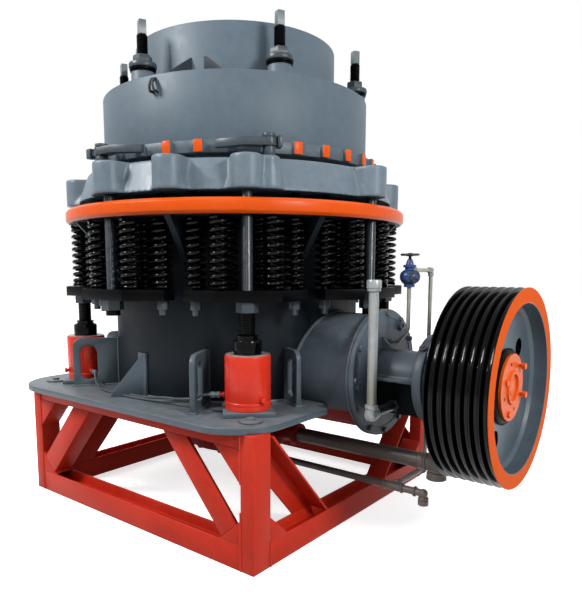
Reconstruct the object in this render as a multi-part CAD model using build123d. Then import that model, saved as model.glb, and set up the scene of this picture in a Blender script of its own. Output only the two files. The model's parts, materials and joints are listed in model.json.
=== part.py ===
from build123d import *
import os
from math import asin, atan2, cos, degrees, hypot, radians, sin

os.makedirs("parts", exist_ok=True)

# Spring cone crusher on its welded stand, in millimetres. The origin is on the floor under the
# upright axis of the crushing cone, +X runs along the countershaft to the drive pulley, +Z is up.
# Radii step outwards and inwards from the shell, and heights step upwards from the stand.

# Stand of welded H-beams
STAND_H = 600.0             # floor to the underside of the base plate
STAND_OUT = 150.0           # from the shell to the stand's outer faces
BEAM = 114.0                # width and depth of every H-beam and angle bar
BEAM_FLANGE = 10.0
BEAM_WEB = 8.0
ANGLE_T = 12.0              # the diagonals are angle bars
POST_SIDE = 72.0            # width of a corner post seen from the side
TOP_RAIL_H = 65.0
GUSSET_WALL = 10.0
SIDE_FOOT_IN = 68.0         # from the post to where a side diagonal's centre line meets its gusset
SIDE_FOOT_Z = 165.0
SIDE_HEAD_X = 367.0         # where that line meets the top rail
END_HEAD_IN = 93.0          # from the outer face to where an end diagonal's centre line leaves the post
END_HEAD_DROP = 61.0
END_FOOT_Y = 358.0          # where it meets the sill
FAR_FOOT_IN = 110.0         # from the post to where a far end's diagonal meets the sill
FAR_HEAD_Y = 227.0          # where it meets the top rail
TOP_GUSSET_DROP = 218.0     # how far a top gusset reaches down its post
TOP_GUSSET_RUN = 150.0      # and along the top rail
END_GUSSET_RISE = 110.0
END_GUSSET_RUN = 119.0

# Base plate
PLATE_T = 30.0
PLATE_LAP = 85.0            # how far the plate reaches past the stand
PLATE_FRONT_LAP = 20.0      # and past it on the pulley side
PLATE_CORNER_R = 250.0
HOLD_DOWN_GAP = 14.0        # from a jack's base to the washer of a hold-down bolt
HOLD_DOWN_WASHER_R = 50.0
HOLD_DOWN_WASHER_T = 8.0
HOLD_DOWN_NUT = 34.0        # across flats
HOLD_DOWN_NUT_H = 12.0

# Main frame: shell, hub, arms, ring
SHELL_R = 690.0
SHELL_T = 40.0
SHELL_H = 879.0             # base plate to the underside of the main frame ring
RING_BORDER = 60.0          # from the main bolts to the ring's edge
RING_T = 70.0
RING_EDGE = 14.0
SEAT_H = 37.0               # raised seat that carries the adjustment ring
SEAT_W = 75.0
RIB_T = 30.0
RIB_REACH = 215.0
RIB_DROP = 237.0
HUB_R = 320.0
HUB_DROP = 320.0            # how far the hub hangs below the base plate
HUB_H = 960.0
HUB_COVER_IN = 35.0
HUB_COVER_T = 24.0
HUB_COVER_BOLTS = 10
HUB_BOLT_IN = 30.0
HUB_BOLT = 36.0             # across flats
HUB_BOLT_H = 16.0
ARM_T = 90.0
ARM_RISE = 10.0
ARM_H = 360.0

# Countershaft and its housing
SHAFT_RISE = 138.0          # base plate to the countershaft's centre line
SHAFT_R = 55.0
RUN_GAP = 0.05              # radial clearance of every running fit
HOUSING_R = 285.0
HOUSING_T = 35.0
HOUSING_OUT = 247.0         # how far the housing reaches out of the shell
COVER_LAP = 27.0
COVER_T = 43.0
COVER_BOLTS = 12
COVER_BOLT_IN = 22.0
COVER_BOLT_R = 12.0
COVER_BOLT_H = 14.0
TUBE_R = 118.0
TUBE_LENGTH = 237.0
SUMP_HALF = 95.0            # half width of the box under the shaft tube
SUMP_DROP = 175.0
SIDE_RIB_T = 14.0
SIDE_RIB_REACH = 160.0
BEARING_R = 206.0
BEARING_T = 44.0
BEARING_CAP_R = 188.0
BEARING_CAP_T = 28.0

# Grooved drive pulley
PULLEY_R = 430.0
PULLEY_GAP = 85.0           # from the bearing cap to the pulley's rim
GROOVES = 7
GROOVE_PITCH = 37.0
GROOVE_TOP = 31.0
GROOVE_ROOT = 15.0
GROOVE_DEPTH = 26.0
RIM_EDGE = 1.5
RIM_T = 65.0
WEB_INSET = 84.0
WEB_T = 36.0
WEB_HOLE_R = 34.0
WEB_HOLE_OUT = 78.0         # from the hub's edge to the holes' centres
WEB_HOLES = (40.0, 240.0)
PULLEY_HUB_R = 150.0
PULLEY_HUB_OUT = 25.0
PULLEY_HUB_BACK = 26.0      # from the rim's back edge to the hub's back face
LOCK_DISC_IN = 3.0
LOCK_DISC_T = 13.0
LOCK_RING_R = 74.0
LOCK_RING_WALL = 16.0
LOCK_RING_T = 9.0
LOCK_BOLTS = 8
LOCK_BOLT_IN = 29.0
LOCK_BOLT = 24.0            # across flats
LOCK_BOLT_H = 16.0

# Release springs and their bolts, in eight groups
GROUPS = 8
SPRING_R = 50.0
SPRING_GAP = 10.0           # from the shell to the inner springs
SPRING_LENGTH = 329.0
SIDE_SPRING_STEP = 50.0     # from the inner springs' circle out to each other circle
OUTER_SPRING_STEP = 120.0
MAIN_BOLT_STEP = 130.0
INNER_SPRING_OFF = 6.0      # degrees to each side of the group's middle
SIDE_SPRING_OFF = 16.5
OUTER_SPRING_OFF = 8.0
SPRING_SEAT_T = 50.0
SPRING_SEAT_BORDER = 62.0   # from the main bolt to the seat's outer edge
SPRING_SEAT_EDGE = 8.0
SPRING_SEAT_CUT = 130.0     # each outer corner that is cut off, along the radius
SPRING_SEAT_HALF = 150.0    # half of the outer edge left between the cut corners
SPRING_SEAT_IN_CUT = 50.0
MAIN_BOLT_R = 25.0
MAIN_NUT = 78.0
MAIN_NUT_H = 49.0
MAIN_THREAD_R = 34.0
SIDE_BOLT_R = 17.0
SIDE_NUT = 48.0
SIDE_NUT_H = 44.0
SIDE_TAIL = 26.0
BOLT_HOLE_GAP = 8.0

# Adjustment ring, threaded bowl, cap and hopper
ADJ_H = 146.0
ADJ_WALL = 182.0
ADJ_LEAN = 54.0
BOSS_R = 72.0
BOSS_ROOT = 60.0
EXTRA_BOSS = -67.5
BOWL_DROP = 29.0            # below the underside of the main frame ring
BOWL_CLEAR = 12.0
BOWL_LIP = 5.0
BOWL_SEAT_DROP = 5.0        # where the bowl starts to widen, below its ring's underside
BOWL_SEAT_RISE = 40.0       # and where it reaches the thread line, above it
BOWL_RISE = 85.0
LINER_T = 45.0
LINER_LEAN = 133.0
TOOTH_H = 56.0
TOOTH_RING_W = 75.0
TOOTH_OUT = 22.0
TOOTH_ROOT = 10.0
TEETH = 32
TOOTH_W = 41.0
TOOTH_START = -4.2
CAP_OUT = 37.0
CAP_WALL = 16.0
CAP_H = 313.0
CAP_SHELF = 179.0
HOPPER_WALL = 12.0
HOPPER_H = 275.0
CAP_GUSSETS = ((-71.0, -26.0), (-62.8, 54.0), (109.0, -26.0), (117.2, 54.0))  # place, and turn
GUSSET_T = 12.0
GUSSET_RUN = 165.0
GUSSET_RISE = 115.0
GUSSET_ROOT = 20.0
LIFT_LUG_AT = -78.5
LIFT_LUG_DROP = 94.0
LIFT_LUG_OUT = 42.0
LIFT_LUG_H = 82.0
LIFT_LUG_FACE = 40.0
LIFT_LUG_SLOPE = 16.0
LIFT_LUG_T = 18.0

# Crushing cone seen down the hopper
CRUSH_GAP = 28.0
MANTLE_TOP_R = 230.0
MANTLE_RISE = 33.0
MANTLE_T = 45.0
MANTLE_SKIRT = 30.0
HEAD_FOOT_IN = 30.0
HEAD_FOOT_H = 50.0
FEED_PLATE_IN = 25.0
FEED_PLATE_T = 35.0
FEED_PLATE_EDGE = 12.0

# Bowl bolts on the cap
BOWL_BOLTS = 6
BOWL_BOLT_START = -90.0
BOWL_BOLT_IN = 65.0         # from the cap's edge to the bolts
SLEEVE_R = 56.0
SLEEVE_H = 45.0
WASHER_R = 66.0
WASHER_T = 25.0
BOWL_NUT = 83.0
BOWL_NUT_H = 36.0
BOWL_THREAD_R = 27.0
BOWL_THREAD_H = 195.0
SQUARE = 36.0
SQUARE_H = 70.0

# Pawls that lock the bowl's teeth: pivot angle, reach in degrees
PAWL_OUT = 71.0             # from the tooth tips to the pivots
PAWLS = ((-95.5, 15.5), (-38.3, -16.2))
PAWL_RISE = 12.0            # above the teeth's underside
PAWL_T = 34.0
PAWL_EYE_R = 34.0
PAWL_WAIST = 4.0
PAWL_ELBOW = 0.45           # share of the reach where the arm starts to narrow
PAWL_HEEL = 0.9             # and where its nose starts
PAWL_BACK = 14.0
PAWL_NOSE_T = 22.0
PAWL_NOSE_GAP = 6.0
PAWL_TAIL = 120.0
PAWL_TAIL_HALF = 9.0
PAWL_TAIL_EDGE = 6.0
PAWL_PIN_R = 16.0
PAWL_HEAD_R = 30.0
PAWL_HEAD_T = 18.0
PAWL_COLLAR_IN = 6.0
PAWL_PLAY = 1.0
PAWL_POST_R = 46.0

# Release jacks
JACK_R = 105.0
JACK_BASE = 230.0
JACK_BASE_T = 21.0
JACK_H = 245.0
RAM_R = 70.0
RAM_OUT = 66.0
RAM_IN = 166.0
RAM_COLLAR_R = 52.0
RAM_COLLAR_H = 20.0

# Lugs and ribs on the base plate
LUG_T = 25.0
LUG_REACH = 148.0           # short lugs, beside the countershaft housing and opposite it
LONG_LUG_REACH = 245.0
LUG_H = 265.0
LUG_ROUND = 48.0
LUG_ROOT = 20.0
LUG_OFF_HOUSING = 39.0      # from the housing to the middle of a short lug
LUG_OFF_JACK = 235.0        # from a jack's axis to a long lug, on the pulley's side
FAR_LUG_OFF_JACK = 160.0
LUG_SLOT_W = 62.0
LONG_LUG_SLOT_W = 90.0
LUG_SLOT_RISE = 35.0
LUG_SLOT_H = 190.0
LUG_SLOT_IN = 39.0          # from a lug's outer edge to its slot
BRACE_T = 25.0
BRACE_REACH = 166.0
BRACE_H = 222.0
BRACE_TOE = 14.0
BRACE_PAD_T = 12.0
BRACE_PAD_W = 60.0
BRACES = ((-92.0, -39.0), (92.0, 39.0), (180.0, 0.0))       # place, and turn from straight out

# Oil pipes
PIPE_ROOT = 20.0            # how far a pipe's drawing starts inside the hub that cuts it
RETURN_R = 38.0
RETURN_RISE = 80.0          # above the hub's underside
RETURN_PAST = 2.0           # past the bearing housing's face
RETURN_DROP = 75.0
RETURN_SOCKET_R = 46.0
RETURN_SOCKET_H = 32.0
RETURN_FLANGE_R = 60.0
RETURN_FLANGE_T = 32.0
RETURN_FLANGE_OUT = 139.0   # from the hub to the flange's face
RETURN_BOSS_R = 46.0
SUPPLY_R = 17.0
SUPPLY_Y = -120.0
SUPPLY_RISE = 50.0          # of its tapping in the hub
SUPPLY_FALL = 83.0          # from its tapping down to its long run
SUPPLY_OUT = 80.0           # from the hub to where it turns down
SUPPLY_SHORT = 7.0          # how far its outlet lies short of the bearing housing's face
SUPPLY_DROP = 55.0
SUPPLY_SOCKET_R = 24.0
SUPPLY_SOCKET_H = 24.0
FILLER_R = 23.0
FILLER_OUT = 100.0          # from the housing's cover
FILLER_Y = -310.0
FILLER_SINK = 128.0         # below the countershaft's centre line
FILLER_H = 550.0
FILLER_CAP_WALL = 7.0
FILLER_CAP_H = 26.0
VALVE_IN = 117.0            # from the shaft tube's outer end
VALVE_Y = -12.0
VALVE_RISE = 467.0          # above the countershaft's centre line
STEM_BEND_DROP = 235.0      # from the valve's middle to the bend in the pipe under it
STEM_FOOT_Y = 69.0          # where that pipe goes into the housing's cover
STEM_FOOT_RISE = 147.0
STEM_FOOT_OUT = 16.0
VALVE_R = 46.0
VALVE_NECK_R = 22.0
VALVE_OUTLET_RISE = 33.0
WHEEL_RISE = 105.0
WHEEL_R = 75.0
WHEEL_RIM = 14.0
WHEEL_RIM_SIDES = 8
WHEEL_HUB_R = 16.0
WHEEL_HUB_H = 16.0
WHEEL_SPOKES = 3
SPOKE_W = 9.0
SPINDLE_R = 7.0
SPINDLE_DROP = 22.0
RISER_Y = 225.0
RISER_R = 14.0
RISER_ELBOW = 30.0
PIPE_BITE = 6.0             # how far a pipe's end is welded or screwed in

# Worked out from the sizes above
STAND_HALF = SHELL_R + STAND_OUT
PLATE_HALF = STAND_HALF + PLATE_LAP
PLATE_FRONT = STAND_HALF + PLATE_FRONT_LAP
PLATE_TOP = STAND_H + PLATE_T
POST_IN_X = STAND_HALF - POST_SIDE
POST_IN_Y = STAND_HALF - BEAM
SHELL_IN_R = SHELL_R - SHELL_T

INNER_SPRINGS_AT = SHELL_R + SPRING_GAP + SPRING_R
SIDE_SPRINGS_AT = INNER_SPRINGS_AT + SIDE_SPRING_STEP
OUTER_SPRINGS_AT = INNER_SPRINGS_AT + OUTER_SPRING_STEP
MAIN_BOLT_AT = INNER_SPRINGS_AT + MAIN_BOLT_STEP
RING_R = MAIN_BOLT_AT + RING_BORDER
RING_Z = PLATE_TOP + SHELL_H
RING_TOP = RING_Z + RING_T
SEAT_TOP = RING_TOP + SEAT_H
HOLD_DOWN_AT = (MAIN_BOLT_AT + JACK_BASE / 2 + HOLD_DOWN_GAP + HOLD_DOWN_WASHER_R) / 2 ** 0.5
SPRING_SEAT_Z = RING_Z - SPRING_LENGTH
SPRING_SEAT_LOW = SPRING_SEAT_Z - SPRING_SEAT_T
GROUP_STEP = 360.0 / GROUPS
GROUP_ANGLES = [GROUP_STEP * i for i in range(GROUPS)]
JACK_ANGLES = [45.0, 135.0, 225.0, 315.0]

HUB_Z = STAND_H - HUB_DROP
HUB_TOP = HUB_Z + HUB_H
HUB_COVER_R = HUB_R - HUB_COVER_IN
ARM_Z = PLATE_TOP + ARM_RISE
ARM_TOP = ARM_Z + ARM_H
SHAFT_Z = PLATE_TOP + SHAFT_RISE
HOUSING_END = SHELL_R + HOUSING_OUT
COVER_R = HOUSING_R + COVER_LAP
COVER_END = HOUSING_END + COVER_T
TUBE_END = COVER_END + TUBE_LENGTH
BEARING_END = TUBE_END + BEARING_T
BEARING_CAP_END = BEARING_END + BEARING_CAP_T
PULLEY_W = GROOVES * GROOVE_PITCH + 2 * RIM_EDGE
PULLEY_BACK = BEARING_CAP_END + PULLEY_GAP
PULLEY_FRONT = PULLEY_BACK + PULLEY_W
WEB_FRONT = PULLEY_FRONT - WEB_INSET
HUB_FRONT = WEB_FRONT + PULLEY_HUB_OUT
LOCK_DISC_FRONT = HUB_FRONT + LOCK_DISC_T

BORE_R = SHELL_R            # thread line between adjustment ring and bowl
ADJ_R = BORE_R + ADJ_WALL
ADJ_TOP_R = ADJ_R - ADJ_LEAN
ADJ_TOP = SEAT_TOP + ADJ_H
BOWL_Z = RING_Z - BOWL_DROP
BOWL_FOOT_R = SHELL_IN_R - BOWL_CLEAR
BOWL_TOP = ADJ_TOP + BOWL_RISE
LINER_FOOT_R = BOWL_FOOT_R - BOWL_LIP - LINER_T
LINER_TOP_R = LINER_FOOT_R - LINER_LEAN
TOOTH_Z = BOWL_TOP - TOOTH_H
TOOTH_RING_R = BORE_R + TOOTH_RING_W
TOOTH_R = TOOTH_RING_R + TOOTH_OUT
CAP_R = BORE_R + CAP_OUT
CAP_TOP = BOWL_TOP + CAP_H
HOPPER_R = CAP_R - CAP_SHELF
HOPPER_TOP = CAP_TOP + HOPPER_H
BOWL_BOLT_AT = CAP_R - BOWL_BOLT_IN
SLEEVE_TOP = CAP_TOP + SLEEVE_H
BOWL_THREAD_TOP = SLEEVE_TOP + BOWL_THREAD_H
MANTLE_FOOT_R = LINER_FOOT_R - CRUSH_GAP
MANTLE_TOP = BOWL_TOP + MANTLE_RISE
PAWL_AT = TOOTH_R + PAWL_OUT
PAWL_Z = TOOTH_Z + PAWL_RISE
JACK_FOOT = PLATE_TOP + JACK_BASE_T
JACK_TOP = JACK_FOOT + JACK_H
RAM_TOP = JACK_TOP + RAM_OUT + RAM_COLLAR_H
RETURN_Z = HUB_Z + RETURN_RISE
RETURN_END = BEARING_END + RETURN_PAST
SUPPLY_Z = HUB_Z + SUPPLY_RISE - SUPPLY_FALL
SUPPLY_END = BEARING_END - SUPPLY_SHORT
VALVE_X = TUBE_END - VALVE_IN
VALVE_Z = SHAFT_Z + VALVE_RISE
WHEEL_Z = VALVE_Z + WHEEL_RISE
FILLER_X = COVER_END + FILLER_OUT
FILLER_Z = SHAFT_Z - FILLER_SINK
FILLER_TOP = FILLER_Z + FILLER_H


def turned(points):
    """A body of revolution about the upright axis from its outline in radius and height."""
    return revolve(make_face(Plane.XZ * Polyline(*points, close=True)), Axis.Z)


def drum(r_out, r_in, z_low, z_high):
    """An upright pipe about the origin."""
    return turned([(r_in, z_low), (r_out, z_low), (r_out, z_high), (r_in, z_high)])


def post(radius, z_low, z_high, x=0.0, y=0.0):
    """An upright round bar."""
    middle = Pos(x, y, (z_low + z_high) / 2)
    return middle * Cylinder(radius, z_high - z_low)


def bar_x(radius, x_low, x_high, y=0.0, z=SHAFT_Z):
    """A round bar along X."""
    middle = Pos((x_low + x_high) / 2, y, z)
    return middle * Rot(0, 90, 0) * Cylinder(radius, x_high - x_low)


def bar_y(radius, y_low, y_high, x, z):
    """A round bar along Y."""
    middle = Pos(x, (y_low + y_high) / 2, z)
    return middle * Rot(90, 0, 0) * Cylinder(radius, y_high - y_low)


def pipe_run(radius, *points):
    """A pipe from point to point, round at its bends."""
    pipe = Pos(*points[1]) * Sphere(radius)
    for middle in points[2:-1]:
        pipe += Pos(*middle) * Sphere(radius)
    for start, end in zip(points, points[1:]):
        along = Vector(*end) - Vector(*start)
        rod = Pos(0, 0, along.length / 2) * Cylinder(radius, along.length)
        pipe += Plane(origin=start, z_dir=along) * rod
    return pipe


def block(x_low, x_high, y_low, y_high, z_low, z_high):
    middle = Pos((x_low + x_high) / 2, (y_low + y_high) / 2, (z_low + z_high) / 2)
    return middle * Box(x_high - x_low, y_high - y_low, z_high - z_low)


def hexagon(across_flats, z_low, z_high, x=0.0, y=0.0):
    """A nut or bolt head standing upright."""
    profile = RegularPolygon(across_flats / 2, 6, major_radius=False)
    return Pos(x, y, z_low) * extrude(profile, z_high - z_low)


def turn(angle, shape):
    return Rot(0, 0, angle) * shape


def at(radius, angle):
    """A point on a circle about the upright axis."""
    return radius * cos(radians(angle)), radius * sin(radians(angle))


def upright_plate(points, thickness):
    """A plate in the upright plane through the axis, from its outline in radius and height."""
    face = make_face(Plane.XZ * Polyline(*points, close=True))
    return extrude(face, thickness / 2, both=True)


def save(name, *solids):
    shapes = [solid for shape in solids for solid in shape.solids()]
    export_step(Compound(children=shapes), f"parts/{name}.step")


def h_beam(length, height, depth=BEAM):
    """An H-beam along X with upright flanges and a level web, centred on the origin."""
    inside = depth / 2 - BEAM_FLANGE
    beam = Box(length, depth, height)
    for z_side in (-1, 1):
        hollow_h = (height - BEAM_WEB) / 2
        beam -= Pos(0, 0, z_side * (BEAM_WEB + hollow_h) / 2) * Box(length, 2 * inside, hollow_h)
    return beam


def angle_bar(length):
    """An angle bar along X, one leg flat on Z = 0 and the other standing on its +Y edge."""
    flat = block(-length / 2, length / 2, -BEAM / 2, BEAM / 2, 0, ANGLE_T)
    return flat + block(-length / 2, length / 2, BEAM / 2 - ANGLE_T, BEAM / 2, 0, BEAM)


def four_ways(shape):
    """A shape in the corner toward +X and +Y, and its mirror images in the other corners."""
    pair = [shape, mirror(shape, Plane.YZ)]
    return pair + [mirror(each, Plane.XZ) for each in pair]


def box_gusset(outline, cut_from, cut_to, depth):
    """A corner gusset: a plate on each face of the beam and one along its sloping edge."""
    solid = extrude(make_face(Polyline(*outline, close=True)), depth)
    run = (cut_to[0] - cut_from[0], cut_to[1] - cut_from[1])
    length = hypot(*run)
    inward = (-run[1] / length * GUSSET_WALL, run[0] / length * GUSSET_WALL)
    moved = [(x + inward[0], y + inward[1]) for x, y in outline]
    core = extrude(make_face(Polyline(*moved, close=True)), depth - 2 * GUSSET_WALL)
    return solid - Pos(0, 0, GUSSET_WALL) * core


def on_side(shape):
    """Moves a shape drawn in X and Y, and as deep as a beam, to the stand's +Y face."""
    return Pos(0, STAND_HALF, 0) * Rot(90, 0, 0) * shape


def on_end(shape):
    """Moves such a shape to the stand's +X face, its X along +Y."""
    face = Plane(origin=(POST_IN_Y, 0, 0), x_dir=(0, 1, 0), z_dir=(1, 0, 0))
    return face.location * shape


def make_stand():
    corner = block(POST_IN_X, STAND_HALF, POST_IN_Y, STAND_HALF, 0, STAND_H)
    save("stand_posts", *four_ways(corner))

    middle = STAND_HALF - BEAM / 2
    sill = Pos(0, 0, BEAM / 2) * h_beam(2 * POST_IN_X, BEAM)
    save("side_sills", *[Pos(0, side * middle, 0) * sill for side in (-1, 1)])
    end_sill = Pos(0, 0, BEAM / 2) * Rot(0, 0, 90) * h_beam(2 * POST_IN_Y, BEAM)
    save("end_sills", *[Pos(side * middle, 0, 0) * end_sill for side in (-1, 1)])

    rail_z = STAND_H - TOP_RAIL_H / 2
    rail = Pos(0, 0, rail_z) * h_beam(2 * POST_IN_X, TOP_RAIL_H)
    save("side_top_rails", *[Pos(0, side * middle, 0) * rail for side in (-1, 1)])
    end_rail = Pos(-middle, 0, rail_z) * Rot(0, 0, 90) * h_beam(2 * POST_IN_Y, TOP_RAIL_H)
    save("end_top_rail", end_rail)


def slope_and_gusset():
    """The side diagonal and its bottom gusset meet on a line square to the diagonal."""
    foot_x = POST_IN_X - SIDE_FOOT_IN
    rise = STAND_H - TOP_RAIL_H - SIDE_FOOT_Z
    run = SIDE_HEAD_X - foot_x
    lean = degrees(atan2(rise, run))
    long = hypot(rise, run) + BEAM
    diagonal = Pos(foot_x, SIDE_FOOT_Z, 0) * Rot(0, 0, lean) * Pos(long / 2, 0, 0) * angle_bar(long)
    diagonal &= block(-POST_IN_X, POST_IN_X, BEAM, STAND_H - TOP_RAIL_H, 0, BEAM)
    grade = -run / rise
    at_post = SIDE_FOOT_Z + grade * SIDE_FOOT_IN
    at_sill = foot_x - (SIDE_FOOT_Z - BEAM) / grade
    outline = [(POST_IN_X, at_post), (at_sill, BEAM), (POST_IN_X, BEAM)]
    gusset = box_gusset(outline, outline[0], outline[1], BEAM)
    return diagonal, gusset


def make_bracing():
    diagonal, gusset = slope_and_gusset()
    save("side_diagonals", *four_ways(on_side(diagonal)))

    rail_under = STAND_H - TOP_RAIL_H
    low = (POST_IN_X, STAND_H - TOP_GUSSET_DROP)
    far = (POST_IN_X - TOP_GUSSET_RUN, rail_under)
    top_gusset = box_gusset([far, low, (POST_IN_X, rail_under)], far, low, BEAM)
    side_gussets = four_ways(on_side(gusset)) + four_ways(on_side(top_gusset))
    save("side_gussets", *side_gussets)

    rise = STAND_H - END_HEAD_DROP - BEAM
    run = STAND_HALF - END_HEAD_IN - END_FOOT_Y
    slope = end_slope(END_FOOT_Y, rise, run) & block(0, POST_IN_Y, BEAM, STAND_H, 0, BEAM)
    foot_y = POST_IN_Y - FAR_FOOT_IN
    far_slope = end_slope(foot_y, rail_under - BEAM, FAR_HEAD_Y - foot_y)
    far_slope &= block(0, POST_IN_Y, BEAM, rail_under, 0, BEAM)
    ends = [on_end(slope), mirror(on_end(far_slope), Plane.YZ)]
    save("end_diagonals", *ends, *[mirror(each, Plane.XZ) for each in ends])

    outline = [(POST_IN_Y, BEAM + END_GUSSET_RISE), (POST_IN_Y - END_GUSSET_RUN, BEAM), (POST_IN_Y, BEAM)]
    end_gusset = box_gusset(outline, outline[0], outline[1], BEAM)
    pulley_end = on_end(end_gusset)
    save("end_gussets", pulley_end, mirror(pulley_end, Plane.XZ))


def end_slope(foot_y, rise, run):
    """An angle bar through its foot on the sill, up to a head that is so much higher and further out."""
    long = 2 * hypot(rise, run)
    return Pos(foot_y, BEAM, 0) * Rot(0, 0, degrees(atan2(rise, run))) * angle_bar(long)


def make_base_plate():
    long = PLATE_HALF + PLATE_FRONT
    outline = Pos(PLATE_FRONT - long / 2, 0) * RectangleRounded(long, 2 * PLATE_HALF, PLATE_CORNER_R)
    plate = Pos(0, 0, STAND_H) * extrude(outline, PLATE_T)
    plate -= post(SHELL_IN_R, STAND_H - 1, PLATE_TOP + 1)
    plate -= bar_x(HOUSING_R + RUN_GAP, 0, PLATE_FRONT + 1)
    save("base_plate", plate)

    anchors = []
    for x_side in (-1, 1):
        for y_side in (-1, 1):
            place = (x_side * HOLD_DOWN_AT, y_side * HOLD_DOWN_AT)
            nut_z = PLATE_TOP + HOLD_DOWN_WASHER_T
            washer = post(HOLD_DOWN_WASHER_R, PLATE_TOP, nut_z, *place)
            nut = hexagon(HOLD_DOWN_NUT, nut_z, nut_z + HOLD_DOWN_NUT_H, *place)
            anchors.append(washer + nut)
    save("hold_down_bolts", *anchors)


def make_main_frame():
    shell = drum(SHELL_R, SHELL_IN_R, PLATE_TOP, RING_Z)
    shell -= bar_x(HOUSING_R + RUN_GAP, 0, SHELL_R + 1)
    save("main_shell", shell)

    edge = RING_EDGE
    seat_r = SHELL_R + SEAT_W
    profile = [
        (SHELL_IN_R, RING_Z), (RING_R - edge, RING_Z), (RING_R, RING_Z + edge),
        (RING_R, RING_TOP - edge), (RING_R - edge, RING_TOP), (seat_r, RING_TOP),
        (seat_r, SEAT_TOP), (SHELL_IN_R, SEAT_TOP),
    ]
    ring = turned(profile)
    for angle in GROUP_ANGLES:
        hole = post(MAIN_BOLT_R + BOLT_HOLE_GAP, RING_Z - 1, RING_TOP + 1, *at(MAIN_BOLT_AT, angle))
        ring -= hole
        for spring_at, off in side_bolt_places(angle):
            ring -= post(SIDE_BOLT_R + BOLT_HOLE_GAP, RING_Z - 1, RING_TOP + 1, *at(spring_at, off))
    save("main_frame_ring", ring)

    rib = upright_plate(
        [(SHELL_R, RING_Z), (SHELL_R, RING_Z - RIB_DROP), (SHELL_R + RIB_REACH, RING_Z)], RIB_T
    )
    shell_outside = post(SHELL_R + RUN_GAP, PLATE_TOP, RING_Z)
    rib = (Pos(-RIB_T, 0, 0) * rib + rib) - shell_outside
    save("ring_ribs", *[turn(angle + GROUP_STEP / 2, rib) for angle in GROUP_ANGLES])

    hub = drum(HUB_R, 0, HUB_Z, HUB_TOP)
    save("frame_hub", hub)
    cover = drum(HUB_COVER_R, 0, HUB_Z - HUB_COVER_T, HUB_Z)
    for i in range(HUB_COVER_BOLTS):
        x, y = at(HUB_COVER_R - HUB_BOLT_IN, 360.0 / HUB_COVER_BOLTS * i)
        cover += hexagon(HUB_BOLT, HUB_Z - HUB_COVER_T - HUB_BOLT_H, HUB_Z - HUB_COVER_T, x, y)
    save("hub_cover", cover)

    arm = block(0, SHELL_R, -ARM_T / 2, ARM_T / 2, ARM_Z, ARM_TOP)
    arm = (arm - post(HUB_R + RUN_GAP, 0, HUB_TOP)) & post(SHELL_IN_R - RUN_GAP, 0, HUB_TOP)
    save("hub_arms", *[turn(angle, arm) for angle in (90, 180, 270)])


def side_bolt_places(angle):
    """Where the two side bolts of a spring group stand, as radius and angle."""
    return [(SIDE_SPRINGS_AT, angle + side * SIDE_SPRING_OFF) for side in (-1, 1)]


def spring_places(angle):
    """Where the six springs of a group stand, the last two round its side bolts."""
    rows = [(INNER_SPRINGS_AT, INNER_SPRING_OFF), (OUTER_SPRINGS_AT, OUTER_SPRING_OFF)]
    places = [(radius, angle + side * off) for radius, off in rows for side in (-1, 1)]
    return places + side_bolt_places(angle)


def make_springs():
    seats = []
    bolts = []
    springs = []
    nut_low = SPRING_SEAT_LOW - MAIN_NUT_H
    side_nut_low = SPRING_SEAT_LOW - SIDE_NUT_H
    for angle in GROUP_ANGLES:
        seats.append(spring_seat(angle))
        x, y = at(MAIN_BOLT_AT, angle)
        bolt = post(MAIN_BOLT_R, SPRING_SEAT_LOW, SEAT_TOP, x, y)
        bolt += hexagon(MAIN_NUT, nut_low, SPRING_SEAT_LOW, x, y)
        foot = RAM_TOP if angle in JACK_ANGLES else nut_low - SIDE_TAIL
        bolt += post(MAIN_THREAD_R, foot, nut_low, x, y)
        bolts.append(bolt)
        for place in side_bolt_places(angle):
            x, y = at(*place)
            side = post(SIDE_BOLT_R, side_nut_low - SIDE_TAIL, SEAT_TOP, x, y)
            bolts.append(side + hexagon(SIDE_NUT, side_nut_low, SPRING_SEAT_LOW, x, y))
        for place in spring_places(angle):
            coil = post(SPRING_R, SPRING_SEAT_Z, RING_Z, *at(*place))
            if place in side_bolt_places(angle):
                coil -= post(SIDE_BOLT_R + BOLT_HOLE_GAP, SPRING_SEAT_Z - 1, RING_Z + 1, *at(*place))
            springs.append(coil)
    save("spring_seats", *seats)
    save("spring_bolts", *bolts)
    save("springs", *springs)


def spring_seat(angle):
    """The cast plate under one group of springs, with its corners cut off."""
    outer = MAIN_BOLT_AT + SPRING_SEAT_BORDER
    inner = SHELL_R + SPRING_SEAT_EDGE
    half = SIDE_SPRINGS_AT * sin(radians(SIDE_SPRING_OFF)) + SPRING_R + SPRING_SEAT_EDGE
    in_half = half - SIDE_SPRINGS_AT + SHELL_R - SPRING_SEAT_EDGE
    side = [
        (inner, in_half), (inner + SPRING_SEAT_IN_CUT, half),
        (outer - SPRING_SEAT_CUT, half), (outer, SPRING_SEAT_HALF),
    ]
    outline = side + [(x, -y) for x, y in reversed(side)]
    face = make_face(Polyline(*outline, close=True))
    plate = Pos(0, 0, SPRING_SEAT_LOW) * extrude(face, SPRING_SEAT_T)
    holes = [(MAIN_BOLT_R, MAIN_BOLT_AT, 0.0)] + [(SIDE_BOLT_R, *place) for place in side_bolt_places(0.0)]
    for radius, *place in holes:
        plate -= post(radius + RUN_GAP, SPRING_SEAT_LOW - 1, SPRING_SEAT_Z + 1, *at(*place))
    return turn(angle, plate)


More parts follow.
